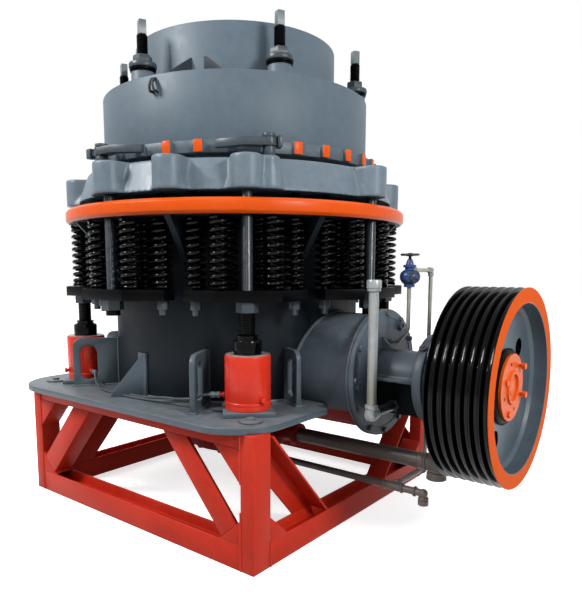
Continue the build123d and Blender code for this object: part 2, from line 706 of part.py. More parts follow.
def make_drive():
    housing = bar_x(HOUSING_R, 0, HOUSING_END)
    housing -= bar_x(HOUSING_R - HOUSING_T, HUB_R, HOUSING_END - HOUSING_T)
    housing -= post(HUB_R + RUN_GAP, 0, HUB_TOP)
    housing -= bar_x(SHAFT_R + RUN_GAP, 0, HOUSING_END + 1)
    save("countershaft_housing", housing)

    bore = bar_x(SHAFT_R + RUN_GAP, HOUSING_END - 1, BEARING_CAP_END + 1)
    cover = bar_x(COVER_R, HOUSING_END, COVER_END)
    for i in range(COVER_BOLTS):
        y, z = at(COVER_R - COVER_BOLT_IN, 360.0 / COVER_BOLTS * i)
        cover += bar_x(COVER_BOLT_R, COVER_END, COVER_END + COVER_BOLT_H, y, SHAFT_Z + z)
    save("housing_cover", cover - bore)

    tube = bar_x(TUBE_R, COVER_END, TUBE_END)
    tube += block(COVER_END, TUBE_END, -SUMP_HALF, SUMP_HALF, SHAFT_Z - SUMP_DROP, SHAFT_Z)
    tube += block(COVER_END, TUBE_END, -SIDE_RIB_REACH, SIDE_RIB_REACH, SHAFT_Z - SIDE_RIB_T, SHAFT_Z)
    save("shaft_tube", tube - bore)

    bearing = bar_x(BEARING_R, TUBE_END, BEARING_END)
    bearing += bar_x(BEARING_CAP_R, BEARING_END, BEARING_CAP_END)
    save("bearing_housing", bearing - bore)

    save("countershaft", bar_x(SHAFT_R, HOUSING_END - HOUSING_T, HUB_FRONT))


def groove_outline():
    """The grooved outside of the pulley's rim, as points along X and radius."""
    points = [(PULLEY_BACK, PULLEY_R)]
    for i in range(GROOVES):
        middle = PULLEY_BACK + RIM_EDGE + GROOVE_PITCH * (i + 0.5)
        points.append((middle - GROOVE_TOP / 2, PULLEY_R))
        points.append((middle - GROOVE_ROOT / 2, PULLEY_R - GROOVE_DEPTH))
        points.append((middle + GROOVE_ROOT / 2, PULLEY_R - GROOVE_DEPTH))
        points.append((middle + GROOVE_TOP / 2, PULLEY_R))
    points.append((PULLEY_FRONT, PULLEY_R))
    return points


def make_pulley():
    web_back = WEB_FRONT - WEB_T
    hub_back = PULLEY_BACK + PULLEY_HUB_BACK
    rim_in_r = PULLEY_R - RIM_T
    outline = groove_outline() + [
        (PULLEY_FRONT, rim_in_r), (WEB_FRONT, rim_in_r), (WEB_FRONT, PULLEY_HUB_R),
        (HUB_FRONT, PULLEY_HUB_R), (HUB_FRONT, SHAFT_R),
        (hub_back, SHAFT_R), (hub_back, PULLEY_HUB_R),
        (web_back, PULLEY_HUB_R), (web_back, rim_in_r), (PULLEY_BACK, rim_in_r),
    ]
    pulley = revolve(make_face(Polyline(*outline, close=True)), Axis.X)
    for angle in WEB_HOLES:
        y, z = at(PULLEY_HUB_R + WEB_HOLE_OUT, angle)
        pulley -= bar_x(WEB_HOLE_R, web_back - 1, WEB_FRONT + 1, y, z)
    save("pulley", Pos(0, 0, SHAFT_Z) * pulley)

    disc_r = PULLEY_HUB_R - LOCK_DISC_IN
    disc = bar_x(disc_r, HUB_FRONT, LOCK_DISC_FRONT)
    disc += bar_x(LOCK_RING_R, LOCK_DISC_FRONT, LOCK_DISC_FRONT + LOCK_RING_T)
    disc -= bar_x(LOCK_RING_R - LOCK_RING_WALL, LOCK_DISC_FRONT, LOCK_DISC_FRONT + LOCK_RING_T + 1)
    for i in range(LOCK_BOLTS):
        y, z = at(disc_r - LOCK_BOLT_IN, 360.0 / LOCK_BOLTS * i)
        head = Rot(0, 90, 0) * hexagon(LOCK_BOLT, 0, LOCK_BOLT_H)
        disc += Pos(LOCK_DISC_FRONT, y, SHAFT_Z + z) * head
    save("lock_disc", disc)


def make_adjustment_ring():
    ring = turned([(BORE_R, SEAT_TOP), (ADJ_R, SEAT_TOP), (ADJ_TOP_R, ADJ_TOP), (BORE_R, ADJ_TOP)])
    bore = post(BORE_R, SEAT_TOP - 1, ADJ_TOP + 1)
    for angle in GROUP_ANGLES + [EXTRA_BOSS]:
        boss = post(BOSS_R, SEAT_TOP, ADJ_TOP, MAIN_BOLT_AT, 0)
        boss += block(ADJ_TOP_R - BOSS_ROOT, MAIN_BOLT_AT, -BOSS_R, BOSS_R, SEAT_TOP, ADJ_TOP)
        ring += turn(angle, boss)
    for angle, _ in PAWLS:
        ring += post(PAWL_POST_R, SEAT_TOP, ADJ_TOP, *at(PAWL_AT, angle))
    save("adjustment_ring", ring - bore)

    foot_in = LINER_FOOT_R + LINER_T
    top_in = LINER_TOP_R + LINER_T
    fit = BORE_R - RUN_GAP
    save("bowl", turned([
        (foot_in, BOWL_Z), (BOWL_FOOT_R, BOWL_Z), (BOWL_FOOT_R, SEAT_TOP - BOWL_SEAT_DROP),
        (fit, SEAT_TOP + BOWL_SEAT_RISE), (fit, BOWL_TOP), (top_in, BOWL_TOP),
    ]))
    save("bowl_liner", turned([
        (LINER_FOOT_R, BOWL_Z), (foot_in, BOWL_Z), (top_in, BOWL_TOP), (LINER_TOP_R, BOWL_TOP),
    ]))


def make_cap():
    teeth = drum(TOOTH_RING_R, BORE_R, TOOTH_Z, BOWL_TOP)
    for i in range(TEETH):
        angle = TOOTH_START + 360.0 / TEETH * i
        tooth = block(TOOTH_RING_R - TOOTH_ROOT, TOOTH_R, -TOOTH_W / 2, TOOTH_W / 2, TOOTH_Z, BOWL_TOP)
        teeth += turn(angle, tooth)
    save("tooth_ring", teeth)

    cap = drum(CAP_R, CAP_R - CAP_WALL, BOWL_TOP, CAP_TOP)
    cap += drum(CAP_R - CAP_WALL, HOPPER_R + RUN_GAP, CAP_TOP - CAP_WALL, CAP_TOP)
    for x, y in bowl_bolt_places():
        cap += post(SLEEVE_R, CAP_TOP, SLEEVE_TOP, x, y)
    save("cap_drum", cap)
    hopper = drum(HOPPER_R, HOPPER_R - HOPPER_WALL, BOWL_TOP, HOPPER_TOP)
    save("hopper", hopper)

    gusset = upright_plate([
        (HOPPER_R - GUSSET_ROOT, CAP_TOP), (HOPPER_R + GUSSET_RUN, CAP_TOP),
        (HOPPER_R, CAP_TOP + GUSSET_RISE), (HOPPER_R - GUSSET_ROOT, CAP_TOP + GUSSET_RISE),
    ], GUSSET_T)
    gussets = []
    for angle, skew in CAP_GUSSETS:
        skewed = Pos(HOPPER_R, 0, 0) * Rot(0, 0, skew) * Pos(-HOPPER_R, 0, 0) * gusset
        gussets.append(turn(angle, skewed - post(HOPPER_R + RUN_GAP, CAP_TOP - 1, HOPPER_TOP)))
    save("hopper_gussets", *gussets)

    root = CAP_R - CAP_WALL
    out = CAP_R + LIFT_LUG_OUT
    low = CAP_TOP - LIFT_LUG_DROP
    outline = [
        (root, low), (out, low), (out - LIFT_LUG_SLOPE, low + LIFT_LUG_FACE), (CAP_R, low + LIFT_LUG_H),
        (root, low + LIFT_LUG_H),
    ]
    lug = upright_plate(outline, LIFT_LUG_T) - post(CAP_R + RUN_GAP, low - 1, CAP_TOP)
    save("lifting_lug", turn(LIFT_LUG_AT, lug))


def bowl_bolt_places():
    step = 360.0 / BOWL_BOLTS
    return [at(BOWL_BOLT_AT, BOWL_BOLT_START + step * i) for i in range(BOWL_BOLTS)]


def make_bowl_bolts():
    bolts = []
    half = SQUARE / 2
    washer_top = SLEEVE_TOP + WASHER_T
    for x, y in bowl_bolt_places():
        bolt = post(WASHER_R, SLEEVE_TOP, washer_top, x, y)
        bolt += hexagon(BOWL_NUT, washer_top, washer_top + BOWL_NUT_H, x, y)
        bolt += post(BOWL_THREAD_R, washer_top, BOWL_THREAD_TOP, x, y)
        bolt += block(x - half, x + half, y - half, y + half, BOWL_THREAD_TOP, BOWL_THREAD_TOP + SQUARE_H)
        bolts.append(bolt)
    save("bowl_bolts", *bolts)


def make_crushing_cone():
    foot_in = MANTLE_FOOT_R - MANTLE_T
    top_in = MANTLE_TOP_R - MANTLE_T
    skirt_z = BOWL_Z - MANTLE_SKIRT
    save("mantle", turned([
        (foot_in, skirt_z), (MANTLE_FOOT_R, skirt_z), (MANTLE_FOOT_R, BOWL_Z),
        (MANTLE_TOP_R, MANTLE_TOP), (top_in, MANTLE_TOP), (foot_in, BOWL_Z),
    ]))
    save("cone_head", turned([
        (0, HUB_TOP), (HUB_R - HEAD_FOOT_IN, HUB_TOP), (HUB_R, HUB_TOP + HEAD_FOOT_H), (foot_in, skirt_z),
        (foot_in, BOWL_Z), (top_in, MANTLE_TOP), (0, MANTLE_TOP),
    ]))
    plate_r = MANTLE_TOP_R - FEED_PLATE_IN
    save("feed_plate", turned([
        (0, MANTLE_TOP), (plate_r, MANTLE_TOP), (plate_r - FEED_PLATE_EDGE, MANTLE_TOP + FEED_PLATE_T),
        (0, MANTLE_TOP + FEED_PLATE_T),
    ]))


def make_pawls():
    """Each pawl is an arm on a pin that stands on the adjustment ring."""
    pins = []
    for name, (angle, reach) in zip(("left_pawl", "right_pawl"), PAWLS):
        px, py = at(PAWL_AT, angle)
        head_z = PAWL_Z + PAWL_T + PAWL_PLAY
        pin = post(PAWL_PIN_R, ADJ_TOP, head_z, px, py)
        pin += post(PAWL_HEAD_R, head_z, head_z + PAWL_HEAD_T, px, py)
        pin += post(PAWL_EYE_R - PAWL_COLLAR_IN, ADJ_TOP, PAWL_Z - PAWL_PLAY, px, py)
        pins.append(pin)
        save(name, Pos(px, py, PAWL_Z) * pawl_arm(angle, reach))
    save("pawl_pins", *pins)


def pawl_arm(angle, reach):
    """A pawl about its own pivot, lying along the ring, with its nose turned in to the teeth."""
    side = 1 if reach > 0 else -1
    nose = TOOTH_R + PAWL_NOSE_GAP
    px, py = at(PAWL_AT, angle)

    def spot(radius, share):
        x, y = at(radius, angle + reach * share)
        return x - px, y - py

    half = PAWL_EYE_R - PAWL_WAIST
    outline = [
        spot(PAWL_AT + half, 0), spot(PAWL_AT + half - PAWL_WAIST, PAWL_ELBOW),
        spot(nose + PAWL_NOSE_T + PAWL_BACK, PAWL_HEEL), spot(nose + PAWL_NOSE_T, 1),
        spot(nose, 1), spot(nose, PAWL_HEEL),
        spot(PAWL_AT - half + PAWL_WAIST, PAWL_ELBOW), spot(PAWL_AT - half, 0),
    ]
    arm = extrude(make_face(Polyline(*outline, close=True)), PAWL_T)
    arm += Pos(0, 0, PAWL_T / 2) * Cylinder(PAWL_EYE_R, PAWL_T)
    edge = PAWL_TAIL_EDGE
    tail = turn(angle - side * 90, block(0, PAWL_TAIL, -PAWL_TAIL_HALF, PAWL_TAIL_HALF, edge, PAWL_T - edge))
    arm += tail
    return arm - Pos(0, 0, PAWL_T / 2) * Cylinder(PAWL_PIN_R + RUN_GAP, PAWL_T + 2)


def make_jacks():
    bases = []
    cylinders = []
    rams = []
    for angle in JACK_ANGLES:
        base = block(
            MAIN_BOLT_AT - JACK_BASE / 2, MAIN_BOLT_AT + JACK_BASE / 2,
            -JACK_BASE / 2, JACK_BASE / 2, PLATE_TOP, JACK_FOOT,
        )
        bases.append(turn(angle, base))
        x, y = at(MAIN_BOLT_AT, angle)
        body = post(JACK_R, JACK_FOOT, JACK_TOP, x, y)
        cylinders.append(body - post(RAM_R + RUN_GAP, JACK_TOP - RAM_IN, JACK_TOP + 1, x, y))
        ram = post(RAM_R, JACK_TOP - RAM_IN, JACK_TOP + RAM_OUT, x, y)
        rams.append(ram + post(RAM_COLLAR_R, JACK_TOP + RAM_OUT, RAM_TOP, x, y))
    save("jack_bases", *bases)
    save("jack_cylinders", *cylinders)
    save("jack_rams", *rams)


def lug(angle, reach, slot_w):
    """A slotted lifting lug that stands on the base plate against the shell."""
    inner = SHELL_R - LUG_ROOT
    outer = SHELL_R + reach
    top = PLATE_TOP + LUG_H
    outline = make_face(Polyline(
        (inner, PLATE_TOP), (outer, PLATE_TOP), (outer, top), (inner, top), close=True
    ))
    corner = outline.vertices().filter_by(lambda v: v.X > outer - 1 and v.Y > top - 1)
    outline = fillet(corner, LUG_ROUND)
    slot_mid = PLATE_TOP + LUG_SLOT_RISE + LUG_SLOT_H / 2
    slot = Pos(outer - LUG_SLOT_IN - slot_w / 2, slot_mid) * Rot(0, 0, 90)
    outline -= slot * SlotOverall(LUG_SLOT_H, slot_w)
    plate = Rot(90, 0, 0) * extrude(outline, LUG_T / 2, both=True)
    return turn(angle, plate - post(SHELL_R + RUN_GAP, 0, RING_Z))


def make_lugs():
    beside = degrees(asin((HOUSING_R + LUG_OFF_HOUSING) / SHELL_R))
    near = JACK_ANGLES[0] + degrees(asin(LUG_OFF_JACK / MAIN_BOLT_AT))
    far = JACK_ANGLES[1] - degrees(asin(FAR_LUG_OFF_JACK / MAIN_BOLT_AT))
    lugs = [
        lug(beside, LUG_REACH, LUG_SLOT_W), lug(near, LONG_LUG_REACH, LONG_LUG_SLOT_W),
        lug(far, LONG_LUG_REACH, LONG_LUG_SLOT_W), lug(180 - beside, LUG_REACH, LUG_SLOT_W),
    ]
    save("slotted_lugs", *lugs, *[mirror(each, Plane.XZ) for each in lugs])

    inner = SHELL_R - LUG_ROOT
    toe = SHELL_R + BRACE_REACH
    top = PLATE_TOP + BRACE_H
    brace = upright_plate([
        (inner, PLATE_TOP), (toe, PLATE_TOP), (toe, PLATE_TOP + BRACE_TOE), (SHELL_R, top), (inner, top),
    ], BRACE_T)
    braces = []
    for angle, skew in BRACES:
        pad = block(inner, SHELL_R + BRACE_PAD_T, -BRACE_PAD_W / 2, BRACE_PAD_W / 2, PLATE_TOP, top)
        skewed = Pos(SHELL_R, 0, 0) * Rot(0, 0, skew) * Pos(-SHELL_R, 0, 0) * brace
        braces.append(turn(angle, skewed + pad - post(SHELL_R + RUN_GAP, 0, RING_Z)))
    save("shell_braces", *braces)


def make_pipes():
    main = bar_x(RETURN_R, HUB_R - PIPE_ROOT, RETURN_END, 0, RETURN_Z)
    main += bar_x(RETURN_BOSS_R, HUB_R - PIPE_ROOT, HUB_R + RETURN_FLANGE_OUT, 0, RETURN_Z)
    flange_end = HUB_R + RETURN_FLANGE_OUT
    main += bar_x(RETURN_FLANGE_R, flange_end - RETURN_FLANGE_T, flange_end, 0, RETURN_Z)
    outlet = RETURN_Z - RETURN_DROP
    main += post(RETURN_R, outlet, RETURN_Z, RETURN_END, 0)
    main += post(RETURN_SOCKET_R, outlet, outlet + RETURN_SOCKET_H, RETURN_END, 0)
    main += Pos(RETURN_END, 0, RETURN_Z) * Sphere(RETURN_R)
    main += post(RISER_R, RETURN_Z, SHAFT_Z - BEARING_R + 1, TUBE_END + BEARING_T / 2, 0)
    main -= post(HUB_R + RUN_GAP, 0, HUB_TOP)
    main -= bar_x(BEARING_R + RUN_GAP, TUBE_END, BEARING_END)
    save("return_pipe", main)

    hub_x = (HUB_R ** 2 - SUPPLY_Y ** 2) ** 0.5
    turn_x = hub_x + SUPPLY_OUT
    tapping = HUB_Z + SUPPLY_RISE
    supply = bar_x(SUPPLY_R, hub_x - PIPE_ROOT, turn_x, SUPPLY_Y, tapping)
    supply += post(SUPPLY_R, SUPPLY_Z, tapping, turn_x, SUPPLY_Y)
    supply += bar_x(SUPPLY_R, turn_x, SUPPLY_END, SUPPLY_Y, SUPPLY_Z)
    outlet = SUPPLY_Z - SUPPLY_DROP
    supply += post(SUPPLY_R, outlet, SUPPLY_Z, SUPPLY_END, SUPPLY_Y)
    supply += post(SUPPLY_SOCKET_R, outlet, outlet + SUPPLY_SOCKET_H, SUPPLY_END, SUPPLY_Y)
    for x, z in ((turn_x, tapping), (turn_x, SUPPLY_Z), (SUPPLY_END, SUPPLY_Z)):
        supply += Pos(x, SUPPLY_Y, z) * Sphere(SUPPLY_R)
    supply += bar_y(RISER_R, SUPPLY_Y, RISER_Y, VALVE_X, SUPPLY_Z)
    supply += Pos(VALVE_X, RISER_Y, SUPPLY_Z) * Sphere(RISER_R)
    supply += post(RISER_R, SUPPLY_Z, SUPPLY_Z + RISER_ELBOW, VALVE_X, RISER_Y)
    save("supply_pipe", supply - post(HUB_R + RUN_GAP, 0, HUB_TOP))


def make_filler():
    filler = post(FILLER_R, FILLER_Z, FILLER_TOP, FILLER_X, FILLER_Y)
    filler += Pos(FILLER_X, FILLER_Y, FILLER_Z) * Sphere(FILLER_R)
    filler += bar_y(FILLER_R, FILLER_Y, -SUMP_HALF, FILLER_X, FILLER_Z)
    filler += post(FILLER_R + FILLER_CAP_WALL, FILLER_TOP, FILLER_TOP + FILLER_CAP_H, FILLER_X, FILLER_Y)
    save("filler_pipe", filler)


def make_valve():
    foot_z = SHAFT_Z + STEM_FOOT_RISE
    stem = pipe_run(
        RISER_R, (VALVE_X, VALVE_Y, VALVE_Z - VALVE_R), (VALVE_X, VALVE_Y, VALVE_Z - STEM_BEND_DROP),
        (COVER_END + STEM_FOOT_OUT, STEM_FOOT_Y, foot_z), (COVER_END, STEM_FOOT_Y, foot_z),
    )
    cross_z = VALVE_Z + VALVE_OUTLET_RISE
    cross = bar_y(RISER_R, VALVE_Y + VALVE_R - PIPE_BITE, RISER_Y, VALVE_X, cross_z)
    cross += Pos(VALVE_X, RISER_Y, cross_z) * Sphere(RISER_R)
    cross += post(RISER_R, SUPPLY_Z + RISER_ELBOW, cross_z, VALVE_X, RISER_Y)
    body = post(VALVE_R, VALVE_Z - VALVE_R, VALVE_Z + VALVE_R, VALVE_X, VALVE_Y)
    body += post(VALVE_NECK_R, VALVE_Z + VALVE_R, WHEEL_Z - SPINDLE_DROP, VALVE_X, VALVE_Y)
    spindle = post(SPINDLE_R, WHEEL_Z - SPINDLE_DROP, WHEEL_Z + WHEEL_HUB_H / 2, VALVE_X, VALVE_Y)
    save("valve_pipes", stem, cross - body)
    save("oil_valve", body + spindle)
    save("handwheel", Pos(VALVE_X, VALVE_Y, WHEEL_Z) * handwheel())


def handwheel():
    """The wheel about its own spindle, its rim of even flats."""
    rim_at = WHEEL_R - WHEEL_RIM / 2
    section = Plane.XZ * Pos(rim_at, 0) * RegularPolygon(WHEEL_RIM / 2, WHEEL_RIM_SIDES)
    wheel = revolve(section, Axis.Z) + Cylinder(WHEEL_HUB_R, WHEEL_HUB_H)
    for i in range(WHEEL_SPOKES):
        spoke = Pos(rim_at / 2, 0, 0) * Box(rim_at, SPOKE_W, SPOKE_W)
        wheel += turn(360.0 / WHEEL_SPOKES * i, spoke)
    return wheel - Cylinder(SPINDLE_R + RUN_GAP, 2 * WHEEL_HUB_H)


make_stand()
make_bracing()
make_base_plate()
make_main_frame()
make_springs()
make_drive()
make_pulley()
make_adjustment_ring()
make_cap()
make_bowl_bolts()
make_crushing_cone()
make_pawls()
make_jacks()
make_lugs()
make_pipes()
make_filler()
make_valve()
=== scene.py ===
import bpy
import json
import math
from mathutils import Matrix, Vector

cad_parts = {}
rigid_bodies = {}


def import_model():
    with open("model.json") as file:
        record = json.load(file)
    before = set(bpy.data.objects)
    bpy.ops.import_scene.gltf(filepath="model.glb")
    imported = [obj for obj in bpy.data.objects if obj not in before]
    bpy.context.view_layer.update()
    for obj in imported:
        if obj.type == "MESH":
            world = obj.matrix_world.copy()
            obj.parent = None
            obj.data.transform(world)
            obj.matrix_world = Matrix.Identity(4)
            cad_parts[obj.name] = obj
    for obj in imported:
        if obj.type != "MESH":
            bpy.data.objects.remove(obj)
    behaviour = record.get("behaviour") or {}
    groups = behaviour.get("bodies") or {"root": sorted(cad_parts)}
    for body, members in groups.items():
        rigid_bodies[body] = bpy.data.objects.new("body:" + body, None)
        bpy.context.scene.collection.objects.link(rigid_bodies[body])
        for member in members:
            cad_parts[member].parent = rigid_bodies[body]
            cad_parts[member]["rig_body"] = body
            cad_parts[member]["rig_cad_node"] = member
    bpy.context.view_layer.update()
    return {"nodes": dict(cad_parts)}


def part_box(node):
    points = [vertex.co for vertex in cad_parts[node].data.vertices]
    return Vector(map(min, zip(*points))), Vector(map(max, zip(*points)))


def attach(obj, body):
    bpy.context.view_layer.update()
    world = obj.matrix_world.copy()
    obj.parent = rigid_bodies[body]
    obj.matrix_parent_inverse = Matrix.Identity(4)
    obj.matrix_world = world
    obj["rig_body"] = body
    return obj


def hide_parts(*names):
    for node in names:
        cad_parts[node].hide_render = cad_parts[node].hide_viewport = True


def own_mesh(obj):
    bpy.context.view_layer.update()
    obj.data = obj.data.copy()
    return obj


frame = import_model()
nodes = frame["nodes"]
bpy.context.scene.view_settings.view_transform = "Standard"

# The camera stands as the photographer did: in front of the corner between the pulley and the left side,
# at chest height, close to the machine, with the picture's middle lifted above the lens axis.
LOOK = Vector((-0.6213, 0.7728, -0.1294))
bpy.ops.object.select_all(action="DESELECT")
bpy.ops.object.camera_add(location=(2.364, -2.598, 1.274))
camera = bpy.context.object
camera.rotation_euler = LOOK.to_track_quat("-Z", "Y").to_euler()
camera.data.lens = 35.61
camera.data.shift_x = 0.0278
camera.data.shift_y = 0.0773
bpy.context.scene.camera = camera

# The floor and the light are a plain white studio: a surround that is white to the eye and gives most of its
# light from above, soft lamps at the left, beside the pulley and behind, and two small ones for glints on gloss.
def colour(hex_code):
    """A hex colour from a screen, in Blender's linear numbers."""
    parts = [int(hex_code[i:i + 2], 16) / 255 for i in (1, 3, 5)]
    return [p / 12.92 if p <= 0.04045 else ((p + 0.055) / 1.055) ** 2.4 for p in parts] + [1.0]


def add(tree, kind, sockets=None, **settings):
    """Adds a node: settings are its own, sockets are values, or outputs of other nodes."""
    made = tree.nodes.new(kind)
    for key, value in settings.items():
        setattr(made, key, value)
    for key, value in (sockets or {}).items():
        if isinstance(value, bpy.types.NodeSocket):
            tree.links.new(value, made.inputs[key])
        else:
            made.inputs[key].default_value = value
    return made


def worked(tree, operation, first, second):
    """What a math node makes of two numbers or outputs."""
    return add(tree, "ShaderNodeMath", {0: first, 1: second}, operation=operation).outputs[0]


def backdrop_rays(tree):
    """1 for the rays that see the studio white: from the camera, through glass and off gloss."""
    rays = add(tree, "ShaderNodeLightPath").outputs
    clear = worked(tree, "MAXIMUM", rays["Is Camera Ray"], rays["Is Transmission Ray"])
    return worked(tree, "MAXIMUM", clear, rays["Is Glossy Ray"])


world = bpy.data.worlds.new("white_studio")
bpy.context.scene.world = world
world.use_nodes = True
tree = world.node_tree
tree.nodes.clear()
height = add(tree, "ShaderNodeSeparateXYZ", {0: add(tree, "ShaderNodeTexCoord").outputs["Generated"]}).outputs["Z"]
sky = add(tree, "ShaderNodeMapRange",
          {"Value": height, "From Min": -0.1, "From Max": 0.9, "To Min": 0.27, "To Max": 0.85})
soft = add(tree, "ShaderNodeBackground", {"Color": colour("#F4F6FA"), "Strength": sky.outputs[0]})
white = add(tree, "ShaderNodeBackground", {"Color": (1, 1, 1, 1), "Strength": 1.0})
both = add(tree, "ShaderNodeMixShader", {0: backdrop_rays(tree), 1: soft.outputs[0], 2: white.outputs[0]})
add(tree, "ShaderNodeOutputWorld", {"Surface": both.outputs[0]})

machine_middle = Vector((0.2, 0, 1.2))
for name, place, size, watts in (
        ("left_softbox", (-2.2, -4.6, 5.4), 1.5, 345),
        ("pulley_softbox", (5.2, -1.2, 3.2), 1.1, 185),
        ("back_softbox", (-3.5, 3.5, 4.0), 2.5, 120),
        ("left_glint", (-1.6, -5.0, 4.6), 0.3, 170),
        ("pulley_glint", (3.4, -5.2, 3.6), 0.35, 35)):
    bpy.ops.object.light_add(type="AREA", location=place)
    lamp = bpy.context.object
    lamp.name = name
    lamp.data.size = size
    lamp.data.energy = watts
    lamp.rotation_euler = (machine_middle - Vector(place)).to_track_quat("-Z", "Y").to_euler()
    lamp.visible_diffuse = not name.endswith("glint")

bpy.ops.object.select_all(action="DESELECT")
bpy.ops.mesh.primitive_plane_add(size=40, location=(0, 0, -0.001))
floor = bpy.context.object
floor.name = "studio_floor"
# Matt, and lit just so far that the floor is white and keeps the machine's shadow
paper = bpy.data.materials.new("white_paper_roll")
paper.use_nodes = True
tree = paper.node_tree
tree.nodes.clear()
matt = add(tree, "ShaderNodeBsdfDiffuse", {"Color": colour("#FFFFFF")})
lift = add(tree, "ShaderNodeEmission", {"Color": (1, 1, 1, 1), "Strength": 0.66})
glow = add(tree, "ShaderNodeAddShader", {0: matt.outputs[0], 1: lift.outputs[0]})
dim = add(tree, "ShaderNodeBsdfDiffuse", {"Color": colour("#8C8C8C")})
low = add(tree, "ShaderNodeMixShader", {0: backdrop_rays(tree), 1: dim.outputs[0], 2: glow.outputs[0]})
add(tree, "ShaderNodeOutputMaterial", {"Surface": low.outputs[0]})
floor.data.materials.append(paper)


# The stand is welded from rolled H-beams, with box gussets in its corners, mitred angle-bar diagonals and a sill all
# round. It is brush-painted in one bright red alkyd enamel, which lies thin on the edges, and the paler colour on its
# edges is partly a painted highlight.
def enamel(name, face, shade, rough=0.38, gloss=0.36, dust=0.0, cast=0.35, stain_and_shade=None, stain_and_shade_z=(0.0, 1.0),
           stain_and_shade_axis="Z", edge=None):
    """A coat on steel that wanders from face to shade, or its uncoated skin. cast is how deep the skin is, dust what
    lies on level faces, stain_and_shade a colour that fades out along stain_and_shade_axis, a real stain on most coats
    and painted shade on the drive housing's grey, and edge the paler colour along sharp edges, partly thin paint and
    partly a painted highlight."""
    def mixed(factor, below, above):
        """One colour over another."""
        return add(t, "ShaderNodeMix", {"Factor": factor, 6: below, 7: above}, data_type="RGBA").outputs[2]

    made = bpy.data.materials.new(name)
    made.use_nodes = True
    t = made.node_tree
    shader = t.nodes["Principled BSDF"]
    place = add(t, "ShaderNodeTexCoord").outputs["Object"]
    # The coat's thickness wanders over about 450 mm (scale 2.2), with brush or spray marks of 48 mm (scale 21)
    broad = add(t, "ShaderNodeTexNoise", {"Vector": place, "Scale": 2.2, "Detail": 5.0, "Roughness": 0.62})
    fine = add(t, "ShaderNodeTexNoise", {"Vector": place, "Scale": 21.0, "Detail": 6.0, "Roughness": 0.7})
    both = worked(t, "ADD", broad.outputs["Fac"], fine.outputs["Fac"])
    depth = add(t, "ShaderNodeMapRange", {"Value": both, "From Min": 0.72, "From Max": 1.3})
    last = mixed(depth.outputs[0], colour(shade), colour(face))
    if edge:
        # Paint draws back from a sharp edge, which shows paler, and the paler colour there is partly a painted
        # highlight
        edge_sharpness = add(t, "ShaderNodeNewGeometry").outputs["Pointiness"]
        worn_and_highlit = add(t, "ShaderNodeMapRange", {"Value": edge_sharpness, "From Min": 0.53, "From Max": 0.62, "To Max": 0.7})
        last = mixed(worked(t, "MULTIPLY", worn_and_highlit.outputs[0], broad.outputs["Fac"]), last, colour(edge))
    # A colour fading out along an axis: a real stain on most coats, painted shade on the drive housing's grey
    if stain_and_shade:
        height = add(t, "ShaderNodeSeparateXYZ", {0: place}).outputs[stain_and_shade_axis]
        low, high = stain_and_shade_z
        stain_and_shade_fade = add(t, "ShaderNodeMapRange",
                   {"Value": height, "From Min": low, "From Max": high, "To Min": 1.0, "To Max": 0.0})
        last = mixed(worked(t, "MULTIPLY", stain_and_shade_fade.outputs[0], both), last, colour(stain_and_shade))
    normal = add(t, "ShaderNodeTexCoord").outputs["Normal"]
    up = add(t, "ShaderNodeSeparateXYZ", {0: normal}).outputs["Z"]
    level = add(t, "ShaderNodeMapRange", {"Value": up, "From Min": 0.55, "From Max": 1.0, "To Max": dust})
    dusty = mixed(worked(t, "MULTIPLY", level.outputs[0], fine.outputs["Fac"]), last, colour("#9A9B98"))
    t.links.new(dusty, shader.inputs["Base Color"])
    dull = add(t, "ShaderNodeMapRange", {"Value": fine.outputs["Fac"], "From Min": 0.3, "From Max": 0.7,
                                         "To Min": rough - 0.06, "To Max": rough + 0.08})
    t.links.new(dull.outputs[0], shader.inputs["Roughness"])
    shader.inputs["IOR"].default_value = 1.5
    shader.inputs["Specular IOR Level"].default_value = gloss
    # Orange peel and casting skin, 2 mm in life, drawn at 8 mm (scale 125) so that it shows, over the
    # 110 mm waves (scale 9) that rolling and casting leave
    skin = add(t, "ShaderNodeTexNoise", {"Vector": place, "Scale": 125.0, "Detail": 3.0, "Roughness": 0.6})
    wave = add(t, "ShaderNodeTexNoise", {"Vector": place, "Scale": 9.0, "Detail": 2.0})
    total = worked(t, "ADD", skin.outputs["Fac"], worked(t, "MULTIPLY", wave.outputs["Fac"], 2.2))
    bump = add(t, "ShaderNodeBump", {"Height": total, "Strength": cast, "Distance": 0.0012})
    t.links.new(bump.outputs[0], shader.inputs["Normal"])
    return made


def take(piece):
    """Makes one piece the only one selected."""
    if bpy.context.object is not None and bpy.context.object.mode == "EDIT":
        bpy.ops.object.mode_set(mode="OBJECT")
    bpy.ops.object.select_all(action="DESELECT")
    piece.select_set(True)
    bpy.context.view_layer.objects.active = piece


def shaped(piece, kind, **settings):
    """Adds one modifier to a piece and applies it."""
    take(piece)
    bpy.ops.object.modifier_add(type=kind)
    modifier = piece.modifiers[-1]
    for key, value in settings.items():
        setattr(modifier, key, value)
    bpy.ops.object.modifier_apply(modifier=modifier.name)
    return piece


def dress(piece, coat):
    """Gives a piece one coat all over."""
    piece.data.materials.clear()
    piece.data.materials.append(coat)
    return piece


def smooth(piece, angle=35):
    """Shades a piece round, but for edges sharper than the angle."""
    take(piece)
    bpy.ops.object.shade_smooth_by_angle(angle=math.radians(angle))
    return piece


def second_coat(piece, coat, wanted):
    """Paints the faces that wanted picks by middle and normal in another coat."""
    piece.data.materials.append(coat)
    index = len(piece.data.materials) - 1
    for face in piece.data.polygons:
        if wanted(face.center, face.normal):
            face.material_index = index
    return piece


